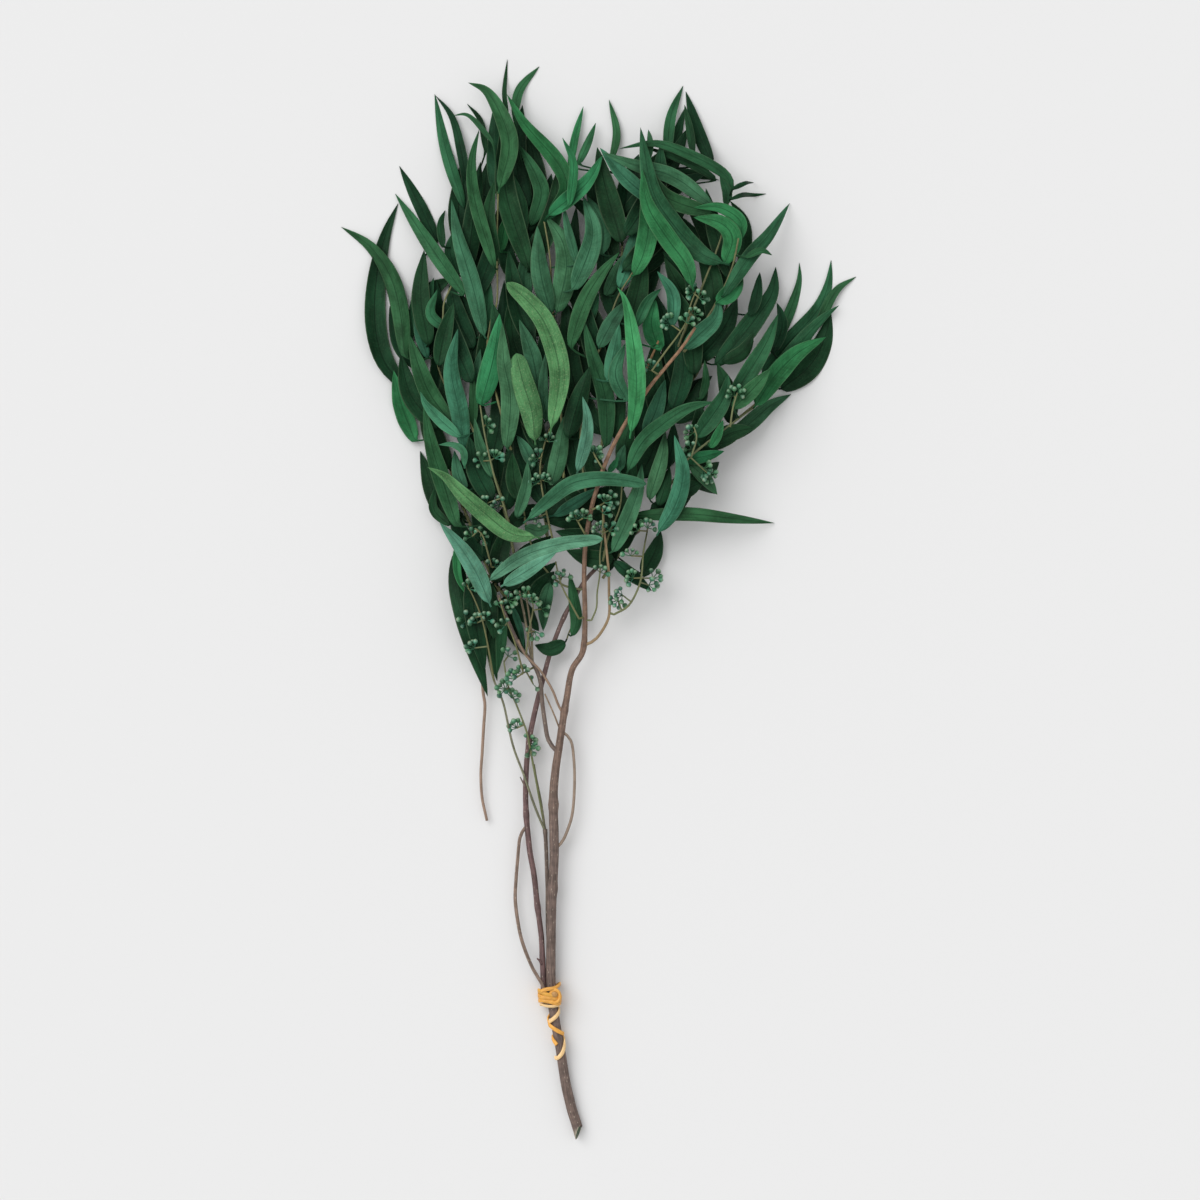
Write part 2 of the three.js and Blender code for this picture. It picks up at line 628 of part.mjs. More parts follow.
// A closed skin over rings of equal size; a ring of one point is a tip.
function skin(rings) {
  const positions = rings.flat().flatMap((p) => [p.x, p.y, p.z]);
  const indices = [];
  let start = 0;
  for (let r = 0; r + 1 < rings.length; r++) {
    const [a, b] = [rings[r].length, rings[r + 1].length];
    const next = start + a;
    for (let k = 0; k < Math.max(a, b); k++) {
      const [p, q] = [start + (k % a), start + ((k + 1) % a)];
      const [s, t] = [next + (k % b), next + ((k + 1) % b)];
      if (a > 1) indices.push(p, q, t);
      if (b > 1) indices.push(p, t, s);
    }
    start = next;
  }
  const cap = (from, count, flip) => {
    for (let k = 1; k + 1 < count; k++) {
      indices.push(from, from + (flip ? k + 1 : k), from + (flip ? k : k + 1));
    }
  };
  cap(0, rings[0].length, true);
  cap(start, rings.at(-1).length, false);
  return solidFrom(positions, indices);
}

// Rings of a round stem along its stations; a station's half is its radius.
function roundRing(station, ahead, sides) {
  const out = new THREE.Vector3(station.side.x, station.side.y, 0);
  const up = out.clone().cross(ahead).normalize();
  if (up.z < 0) up.negate();
  const ring = [];
  for (let k = 0; k < sides; k++) {
    const turn = (2 * Math.PI * (k + 0.5)) / sides;
    ring.push(
      new THREE.Vector3(station.x, station.y, station.z)
        .addScaledVector(out, station.half * Math.cos(turn))
        .addScaledVector(up, station.half * Math.sin(turn)),
    );
  }
  return ring;
}

function stemSolid(stations, sides) {
  const last = stations.length - 1;
  const rings = stations.map((station, i) => {
    const before = stations[Math.max(0, i - 1)];
    const after = stations[Math.min(last, i + 1)];
    const ahead = new THREE.Vector3(after.x - before.x, after.y - before.y, after.z - before.z);
    return roundRing(station, ahead.normalize(), sides);
  });
  return skin(rings);
}

function stemStations(numbers, radii, spacing) {
  const points = pairs(numbers);
  const curve = smoothThrough(points);
  const count = Math.max(2, Math.round(curve.getLength() / spacing));
  return Array.from({ length: count + 1 }, (_, i) => {
    const radius = lerp(radii[0], radii[1], i / count);
    return { ...placeOn(curve, i / count), half: radius, deep: radius, tilt: 0 };
  });
}

// A leaf's outline: half its width at a share t of its length, pointed at both ends.
function leafHalfWidth(width, t) {
  const rise = (t / WIDEST_AT) ** 0.75;
  const fall = ((1 - t) / (1 - WIDEST_AT)) ** (0.75 * (1 / WIDEST_AT - 1));
  return Math.max(STALK_HALF_WIDTH * (1 - t), (width / 2) * rise * fall);
}

function leafStations(width, numbers, seed, blunt) {
  const curve = smoothThrough(pairs(numbers));
  const count = THREE.MathUtils.clamp(Math.round(curve.getLength() / LEAF_STEP), 3, 5);
  const roll = (chance(seed) - 0.5) * 0.4;
  return Array.from({ length: count + 1 }, (_, i) => {
    const t = i / count;
    const half = leafHalfWidth(width, blunt ? t * 0.78 : t);
    const place = placeOn(curve, t);
    return {
      ...place,
      z: CLEARANCE + domeHeight(place.x, place.y),
      half,
      deep: 0,
      tilt: i === 0 || i === count ? 0 : half * Math.tan(roll),
    };
  });
}

// A blade is a thin wedge in section: two edges and a raised midrib.
function bladeSolid(stations, blunt, foot) {
  const rings = stations.map(({ x, y, z, side, half, tilt }) => [
    new THREE.Vector3(x - side.x * half, y - side.y * half, z - tilt),
    new THREE.Vector3(x + side.x * half, y + side.y * half, z + tilt),
    new THREE.Vector3(x, y, z + LEAF_THICKNESS),
  ]);
  if (!blunt) {
    const { x, y, z } = stations.at(-1);
    rings[rings.length - 1] = [new THREE.Vector3(x, y, z + LEAF_THICKNESS / 2)];
  }
  return skin(foot ? [foot, ...rings] : rings);
}

function nearestStation(stations, x, y) {
  let best = { distance: Infinity };
  for (let i = 0; i + 1 < stations.length; i++) {
    for (let k = 0; k <= 8; k++) {
      const f = k / 8;
      const px = lerp(stations[i].x, stations[i + 1].x, f);
      const py = lerp(stations[i].y, stations[i + 1].y, f);
      const distance = Math.hypot(px - x, py - y);
      if (distance < best.distance) {
        best = { distance, x: px, y: py, z: lerp(stations[i].z, stations[i + 1].z, f) };
      }
    }
  }
  return best;
}

function joined(solids) {
  return solids.reduce((whole, piece) => whole.add(piece));
}

// Starts a strip on the twig it grows from, and returns the ring of its stalk's foot inside the twig.
function rootOnTwig(stations, twig) {
  const root = nearestStation(twig, stations[0].x, stations[0].y);
  const ahead = new THREE.Vector3(stations[0].x - root.x, stations[0].y - root.y, 0);
  if (ahead.length() < 1.5) ahead.set(stations.at(-1).x - root.x, stations.at(-1).y - root.y, 0);
  ahead.normalize();
  const side = { x: ahead.y, y: -ahead.x };
  stations.unshift({ ...root, side, half: STALK_HALF_WIDTH, deep: 0, tilt: 0 });
  const foot = new THREE.Vector3(root.x, root.y, root.z);
  const across = new THREE.Vector3(side.x, side.y, 0).multiplyScalar(STALK_HALF_WIDTH);
  return [
    foot.clone().sub(across),
    foot.clone().add(across),
    foot.clone().addScaledVector(ahead, -LEAF_THICKNESS),
  ];
}

// ---- the kinds of piece ----
const bunch = new THREE.Group();

function addNode(name, solid, colour, roughness) {
  const mesh = solid.getMesh();
  const geometry = new THREE.BufferGeometry();
  const places = new Float32Array(mesh.numVert * 3);
  for (let i = 0; i < mesh.numVert; i++) {
    const from = i * mesh.numProp;
    places.set(mesh.vertProperties.subarray(from, from + 3), 3 * i);
  }
  geometry.setAttribute("position", new THREE.BufferAttribute(places, 3));
  geometry.setIndex(new THREE.BufferAttribute(mesh.triVerts, 1));
  geometry.computeVertexNormals();
  const material = new THREE.MeshStandardMaterial({ color: colour, roughness, metalness: 0 });
  const node = new THREE.Mesh(geometry, material);
  node.name = name;
  bunch.add(node);
}

// A twig with its leaves: each leaf's stalk is grown from the nearest place on the twig.
function addSprig(name, { twig, leaves }, colour) {
  const radius = twig[0] / 2;
  const stem = stemStations(twig.slice(1), [radius, radius * 0.6], 16);
  for (const station of stem) station.z = CLEARANCE + radius + domeHeight(station.x, station.y);
  settle(stem, TWIG_SLOPE);
  addToPile(stem, radius);
  const blades = leaves.map(([width, ...numbers], i) => {
    const blade = leafStations(width, numbers, name.length * 31 + i * 7, false);
    const foot = rootOnTwig(blade, stem);
    settle(blade, LEAF_SLOPE);
    addToPile(blade, LEAF_THICKNESS);
    return bladeSolid(blade, false, foot);
  });
  addNode(name, joined([stemSolid(stem, 3), ...blades]), colour, 0.6);
}

// One leaf of its own, with a short stalk behind its base.
function addFrontLeaf(name, width, blunt, numbers) {
  const blade = leafStations(width, numbers, name.length * 17, blunt);
  const { x, y, side } = blade[0];
  const behind = { x: x + side.y * STALK_LENGTH, y: y - side.x * STALK_LENGTH };
  blade.unshift({ ...blade[0], ...behind, z: CLEARANCE + domeHeight(behind.x, behind.y) });
  settle(blade, LEAF_SLOPE);
  addToPile(blade, LEAF_THICKNESS);
  addNode(name, bladeSolid(blade, blunt), COLOUR.frontLeaf, 0.55);
}

// The outer shape of one umbel: a flat blob of buds at the end of its stalk.
function umbelSolid(x, y, z) {
  const geometry = new THREE.OctahedronGeometry(1, 0);
  geometry.deleteAttribute("normal");
  geometry.deleteAttribute("uv");
  const merged = mergeVertices(geometry);
  merged.rotateZ(Math.PI / 4);
  merged.scale(UMBEL_RADIUS, UMBEL_RADIUS, BUD_RADIUS);
  merged.translate(x, y, z);
  return solidFrom([...merged.attributes.position.array], [...merged.index.array]);
}

// The highest place of the pile under a round patch.
function pileUnderDisc(x, y, radius) {
  let top = pileTop(x, y);
  for (let a = 0; a < 8; a++) {
    const out = (a * Math.PI) / 4;
    for (const reach of [radius / 2, radius]) {
      top = Math.max(top, pileTop(x + reach * Math.cos(out), y + reach * Math.sin(out)));
    }
  }
  return top;
}

function addDiscToPile({ x, y, z }, radius, height) {
  for (let share = 0; share <= 1; share += 0.25) {
    for (let a = 0; a < 12; a++) {
      const out = (a * Math.PI) / 6;
      const reach = radius * share;
      raisePile(x + reach * Math.cos(out), y + reach * Math.sin(out), z + height * (1 - share));
    }
  }
}

// A twig with umbels of buds: each umbel's stalk is grown from the nearest place on the twig.
function addSeedTwig(name, { twig, umbels }) {
  const radius = twig[0] / 2;
  const stem = stemStations(twig.slice(1), [radius, radius * 0.7], 14);
  for (const station of stem) station.z = CLEARANCE + radius + domeHeight(station.x, station.y);
  settle(stem, TWIG_SLOPE);
  const solids = [stemSolid(stem, 3)];
  const stalks = umbels.map(([x, y, heading]) => {
    const turn = THREE.MathUtils.degToRad(heading);
    const middle = { x: x + UMBEL_OFFSET * Math.cos(turn), y: y + UMBEL_OFFSET * Math.sin(turn) };
    const z = pileUnderDisc(middle.x, middle.y, UMBEL_RADIUS) + CLEARANCE + BUD_RADIUS;
    const end = { half: BUD_STALK_RADIUS, deep: 0, tilt: 0, z: z - LEAF_THICKNESS / 2 };
    const stalk = [{ ...end, x, y }, { ...end, ...middle }];
    if (nearestStation(stem, x, y).distance < 2) stalk.shift();
    const foot = rootOnTwig(stalk, stem);
    for (const station of stalk) station.side = stalk[0].side;
    settle(stalk, LEAF_SLOPE);
    const hub = stalk.at(-1);
    solids.push(bladeSolid(stalk, true, foot), umbelSolid(hub.x, hub.y, hub.z + LEAF_THICKNESS / 2));
    return stalk;
  });
  addToPile(stem, radius);
  for (const stalk of stalks) {
    addToPile(stalk, LEAF_THICKNESS);
    addDiscToPile(stalk.at(-1), UMBEL_RADIUS, LEAF_THICKNESS / 2 + BUD_RADIUS);
  }
  addNode(name, joined(solids), COLOUR.bud, 0.5);
}

// A woody stem through points given with their heights. Above the bare part it also rides over the pile.
function stemThrough(points, radii, spacing, overPile, lowest = 0) {
  const curve = smoothThrough(points.map(([x, y, z]) => new THREE.Vector3(x, y, z)));
  const count = Math.max(2, Math.round(curve.getLength() / spacing));
  const stations = Array.from({ length: count + 1 }, (_, i) => {
    const f = (i / count) * (radii.length - 1);
    const k = Math.min(Math.floor(f), radii.length - 2);
    const radius = lerp(radii[k], radii[k + 1], f - k);
    return { ...placeOn(curve, i / count), half: radius, deep: radius, tilt: 0 };
  });
  if (overPile) {
    const first = stations.findIndex((station, i) => i >= lowest && station.y > BARE_STEM_END);
    if (first >= 0) settle(stations, TWIG_SLOPE, first);
  }
  return stations;
}

// A stem and the forks that grow from it: a fork's foot is moved onto the stem's middle line.
function addStem(name, [trunk, ...forks], colour, overPile, sides = 6) {
  const stem = stemThrough(trunk.points, trunk.radii, 12, overPile);
  const limbs = forks.map(({ radii, points }) => {
    const foot = nearestStation(stem, points[0][0], points[0][1]);
    return stemThrough([[foot.x, foot.y, foot.z], ...points.slice(1)], radii, 12, overPile, 1);
  });
  for (const limb of [stem, ...limbs]) addToPile(limb, limb[0].half);
  addNode(name, joined([stem, ...limbs].map((limb) => stemSolid(limb, sides))), colour, 0.8);
}

// ---- woody stems: radii from first to last point, then points as x, y, z ----
const MAIN_STEM = {
  radii: [3.75, 3.45, 3.4, 3.3, 3.4, 2.8, 2.2, 1.8, 1.6, 1.5, 1.3, 1],
  points: [
    [20.5, -99, 4], [15, -81, 5], [10.7, -61, 6.2], [8, -44, 7.3], [5, -26, 8.3], [1, 0, 9.5],
    [0.7, 29, 9.8], [1, 56, 10], [3, 104, 11], [2.6, 147, 12.4], [7.7, 187, 14], [12.3, 215, 16],
    [15.8, 234, 17.5], [23.8, 248, 19], [25.2, 272, 21.5], [24.7, 307, 25], [26.8, 334, 28],
    [33.7, 364, 31], [46, 396, 35], [68, 432, 38], [94, 464, 40], [104, 479, 41],
  ],
};
const SECOND_STEM = {
  radii: [2, 2, 2, 1.9, 1.5, 1.2],
  points: [
    [-4.6, -4, 8.3], [-4.9, 9, 8.4], [-5.4, 24, 8], [-6.4, 42, 7.6], [-9, 63, 7.3], [-11.6, 86, 7.4],
    [-14.7, 104, 7.6], [-17.5, 135, 8], [-17, 164, 8], [-15, 184, 8.4], [-12, 199, 9], [-7, 220, 10],
    [-1.4, 241, 11], [4.3, 258, 12], [10, 272, 13], [17, 285, 13.6], [25, 298, 14], [33, 307, 14.6],
    [44, 318, 15], [55, 327, 16], [65, 335, 17],
  ],
};
const THIN_STEM = {
  radii: [1.25, 1.25, 1.2],
  points: [
    [-3.7, -4, 11.8], [-5.1, 6, 11.6], [-9.6, 14, 10.6], [-14, 22, 9], [-21, 41, 7], [-25, 66, 6],
    [-24.5, 84, 6], [-22.8, 104, 6.6], [-21.6, 120, 7.2],
  ],
};
const DARK_STEM = {
  radii: [1.5, 1.5, 1.4],
  points: [
    [-2, -6, 4.6], [-1.9, 12, 4.4], [-1.2, 35, 4.2], [-1.7, 52, 4.4], [-2, 77, 4.8], [-2.8, 104, 5.4],
    [-3.7, 119, 6],
  ],
};
const OLIVE_TWIG_LEFT = {
  radii: [0.9, 0.8, 0.7],
  points: [
    [-3.7, 118, 6], [-8, 128, 8.4], [-13, 141, 10.4], [-18.7, 158, 11.6], [-25.6, 176, 11.4],
    [-29.3, 190, 11.4], [-33.6, 210, 12], [-40.5, 227, 13], [-45, 246, 14], [-47.4, 265, 15],
  ],
};
const OLIVE_TWIG_RIGHT = {
  radii: [0.9, 0.7],
  points: [[-3.6, 117, 6], [-5, 128, 6.6], [-7, 141, 7.2], [-10, 156, 7.6], [-11.6, 166, 8]],
};
const LOOP_TWIG = {
  radii: [1.1, 1],
  points: [
    [8.6, 106, 9.5], [11, 114, 9.4], [15.8, 129, 9.2], [17.5, 147, 9.2], [17.5, 164, 9.4],
    [15.8, 181, 10], [12.6, 190, 10.4],
  ],
};
const LOOSE_TWIG = {
  radii: [1.1, 1.1, 1],
  points: [
    [-53, 263, 11], [-50, 248, 10], [-48.5, 220, 8], [-47, 208, 7], [-48, 192, 6.4], [-49, 175, 5.6],
    [-50, 158, 5], [-49, 141, 4.4], [-45.6, 125, 4],
  ],
};
const LEFT_BRANCH = {
  radii: [1.6, 1.5, 1.4, 1.1],
  points: [
    [0, 177, 13.4], [-2.4, 188, 14], [-5.6, 211, 15], [-7.2, 227, 16], [-13, 240, 17], [-22, 252, 18],
    [-31, 272, 20], [-37, 288, 22],
  ],
};
const LEFT_BRANCH_FORKS = [
  { radii: [1, 0.8], points: [[-12.4, 239, 17], [-15, 252, 18.4], [-17.5, 269, 20], [-22, 291, 22]] },
  { radii: [0.9, 0.7], points: [[-12.6, 239, 17], [-13.4, 262, 19], [-17, 287, 21.4]] },
];
const CROSS_TWIG = {
  radii: [0.9, 0.8],
  points: [[6.8, 204, 17], [3, 217, 18.6], [-3, 228, 20], [-8, 235, 21], [-17.5, 245, 22], [-23, 256, 23]],
};
const RIGHT_BRANCH = {
  radii: [1.1, 0.9, 0.8],
  points: [
    [28.6, 252, 19.5], [34, 257, 20], [42.2, 272, 21], [42.4, 290, 22], [42, 307, 23], [39, 334, 25],
    [38, 351, 27],
  ],
};

// ---- the rubber band ----
const BAND_COILS = [
  // y of the coil, how far it tilts, half width and half height of its loop
  { y: 3.4, tilt: 3.2, reach: 8.0, rise: 7.1 },
  { y: 0.4, tilt: -2.0, reach: 8.1, rise: 7.1 },
  { y: -3.0, tilt: 1.2, reach: 8.1, rise: 7.1 },
  { y: -6.6, tilt: -1.0, reach: 7.6, rise: 6.8 },
];
const BAND_MIDDLE = { x: -0.3, z: 8.25 };
const BAND_TURNS = { from: -8, to: -44, turns: 2.4, start: -0.6 };

// A flat strand carried along a closed or open path of places, each with its outward direction.
function strandRings(path, half, thin) {
  return path.map(({ at, out, along }) => {
    const corners = [];
    for (let k = 0; k < 4; k++) {
      const turn = (2 * Math.PI * (k + 0.5)) / 4;
      corners.push(
        at
          .clone()
          .addScaledVector(along, Math.SQRT2 * half * Math.cos(turn))
          .addScaledVector(out, Math.SQRT2 * thin * Math.sin(turn)),
      );
    }
    return corners;
  });
}

// A ring solid: the strand's last section meets its first.
function closedSkin(rings) {
  const sides = rings[0].length;
  const positions = rings.flat().flatMap((p) => [p.x, p.y, p.z]);
  const indices = [];
  rings.forEach((ring, r) => {
    const here = r * sides;
    const next = ((r + 1) % rings.length) * sides;
    for (let k = 0; k < sides; k++) {
      const m = (k + 1) % sides;
      indices.push(here + k, here + m, next + m, here + k, next + m, next + k);
    }
  });
  return solidFrom(positions, indices);
}

// A coil is a slightly squared ellipse, since the band bridges the gaps between the stems.
function coilSolid({ y, tilt, reach, rise }) {
  const steps = 16;
  const squared = (v) => Math.sign(v) * Math.abs(v) ** 0.8;
  const path = Array.from({ length: steps }, (_, i) => {
    const turn = (2 * Math.PI * (i + 0.5)) / steps;
    const out = new THREE.Vector3(Math.cos(turn), 0, Math.sin(turn));
    const at = new THREE.Vector3(
      BAND_MIDDLE.x + reach * squared(out.x),
      y + tilt * 0.5 * out.x,
      BAND_MIDDLE.z + rise * squared(out.z),
    );
    return { at, out, along: new THREE.Vector3(0, 1, 0) };
  });
  return closedSkin(strandRings(path, BAND_WIDTH / 2, BAND_THICKNESS / 2));
}

// The spare end of the band winds down the main stem as a spiral.
function windingSolid(stem) {
  const steps = 26;
  const path = Array.from({ length: steps + 1 }, (_, i) => {
    const f = i / steps;
    const y = lerp(BAND_TURNS.from, BAND_TURNS.to, f);
    const k = Math.max(1, stem.findIndex((station) => station.y > y));
    const [a, b] = [stem[k - 1], stem[k]];
    const g = (y - a.y) / (b.y - a.y);
    const turn = BAND_TURNS.start - 2 * Math.PI * BAND_TURNS.turns * f;
    const out = new THREE.Vector3(Math.cos(turn), 0, Math.sin(turn));
    const loose = lerp(a.half, b.half, g) + CLEARANCE + BAND_THICKNESS / 2 + 0.4;
    const at = new THREE.Vector3(lerp(a.x, b.x, g), y, lerp(a.z, b.z, g)).addScaledVector(out, loose);
    return { at, out, along: new THREE.Vector3(0, 1, 0) };
  });
  return skin(strandRings(path, BAND_WIDTH / 2, BAND_THICKNESS / 2));
}

// ---- laying the bunch, from the floor up ----
addStem("second_stem", [SECOND_STEM], COLOUR.plumBark, false);
addStem("thin_left_stem", [THIN_STEM], COLOUR.bark, false);
addStem("dark_stem", [DARK_STEM, OLIVE_TWIG_LEFT, OLIVE_TWIG_RIGHT], COLOUR.oliveTwig, false);
addStem("loop_twig", [LOOP_TWIG], COLOUR.bark, false);
addStem("loose_twig", [LOOSE_TWIG], COLOUR.orangeBark, false);
for (const [name, sprig] of Object.entries(UNDER_SPRIGS)) addSprig(name, sprig, COLOUR.darkLeaf);
for (const [name, sprig] of Object.entries(OVER_SPRIGS)) addSprig(name, sprig, COLOUR.leaf);
addStem("main_stem", [MAIN_STEM], COLOUR.bark, true, 8);
addStem("left_branch", [LEFT_BRANCH, ...LEFT_BRANCH_FORKS], COLOUR.bark, true);
addStem("cross_twig", [CROSS_TWIG], COLOUR.bark, false);
addStem("right_branch", [RIGHT_BRANCH], COLOUR.orangeBark, true);
for (const [name, twig] of Object.entries(SEED_TWIGS)) addSeedTwig(name, twig);
for (const [name, width, blunt, ...plan] of FRONT_LEAVES) addFrontLeaf(name, width, blunt, plan);

const tiedStem = stemThrough(MAIN_STEM.points, MAIN_STEM.radii, 4, false);
addNode("rubber_band", joined([...BAND_COILS.map(coilSolid), windingSolid(tiedStem)]), COLOUR.band, 0.45);

// The origin goes under the middle of the bunch, on the surface it lies on.
const reach = new THREE.Box3().setFromObject(bunch);
const middle = reach.getCenter(new THREE.Vector3());
for (const node of bunch.children) node.geometry.translate(-middle.x, -middle.y, -reach.min.z);

export default bunch;
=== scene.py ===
# %% [markdown]
# # A tied bunch of seeded willow eucalyptus
#
# The bunch lies flat: a few woody stems are held by a rubber band near the cut end, and narrow leaves and
# clusters of round buds fan out from them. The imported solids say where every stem, sprig and leaf lies.
# This lesson grows a fine surface in each solid's place: thin curved blades, twigs, buds, bark and band.
#
# Loading the frame comes first, because every height used below is read from its solids.

# %% load the frame
import math

import bpy
import numpy as np
from mathutils.bvhtree import BVHTree
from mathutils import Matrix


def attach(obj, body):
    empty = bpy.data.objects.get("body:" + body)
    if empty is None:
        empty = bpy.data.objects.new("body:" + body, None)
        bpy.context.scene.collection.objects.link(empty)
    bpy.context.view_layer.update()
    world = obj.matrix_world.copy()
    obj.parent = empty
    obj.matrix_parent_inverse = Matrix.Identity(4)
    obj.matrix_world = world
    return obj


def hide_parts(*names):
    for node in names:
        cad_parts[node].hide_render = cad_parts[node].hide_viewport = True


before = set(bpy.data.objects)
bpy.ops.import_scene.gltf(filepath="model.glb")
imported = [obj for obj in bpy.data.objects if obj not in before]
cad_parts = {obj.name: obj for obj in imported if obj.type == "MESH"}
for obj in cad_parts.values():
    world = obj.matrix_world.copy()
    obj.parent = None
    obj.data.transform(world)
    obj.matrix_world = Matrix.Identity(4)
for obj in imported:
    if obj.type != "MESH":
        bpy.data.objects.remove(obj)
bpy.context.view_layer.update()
bpy.context.scene.view_settings.view_transform = "Standard"
MM = 0.001
print(len(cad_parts), "solids")

# %% [markdown]
# Plan places in the tables below are millimetres from the knot of the rubber band, with +Y towards the
# leaf tips. The frame's own origin is under the middle of the bunch. One known point links the two: the tip
# of the crown leaf is its solid's furthest corner, and its place from the knot is the last pair in its row.

# %% corners of a solid, and the knot's place in the frame
def corners(node):
    """Every corner of a solid, in millimetres, each once."""
    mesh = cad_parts[node].data
    places = np.empty(len(mesh.vertices) * 3)
    mesh.vertices.foreach_get("co", places)
    return np.unique(np.round(places.reshape(-1, 3) / MM, 3), axis=0)


CROWN_TIP = (-59.0, 657.0)
crown = corners("crown_leaf")
KNOT = crown[crown[:, 1].argmax()] - (*CROWN_TIP, 0.0)
KNOT[2] = 0.0
print("the knot lies at", KNOT.round(2), "mm")

# %% [markdown]
# ## The plan of the bunch
#
# Each sprig is a twig with its leaves. A twig's row is its thickness, then x, y places along it. A leaf's
# row is its tone, its width, then x, y places from stalk to tip. Real leaves differ a little in colour even
# on one twig, so the tone is chosen leaf by leaf: d deep green, m middle green, b bright green, s spring
# green, t blue-green, g grey-green, y yellow-green with specks, p pale waxy green.

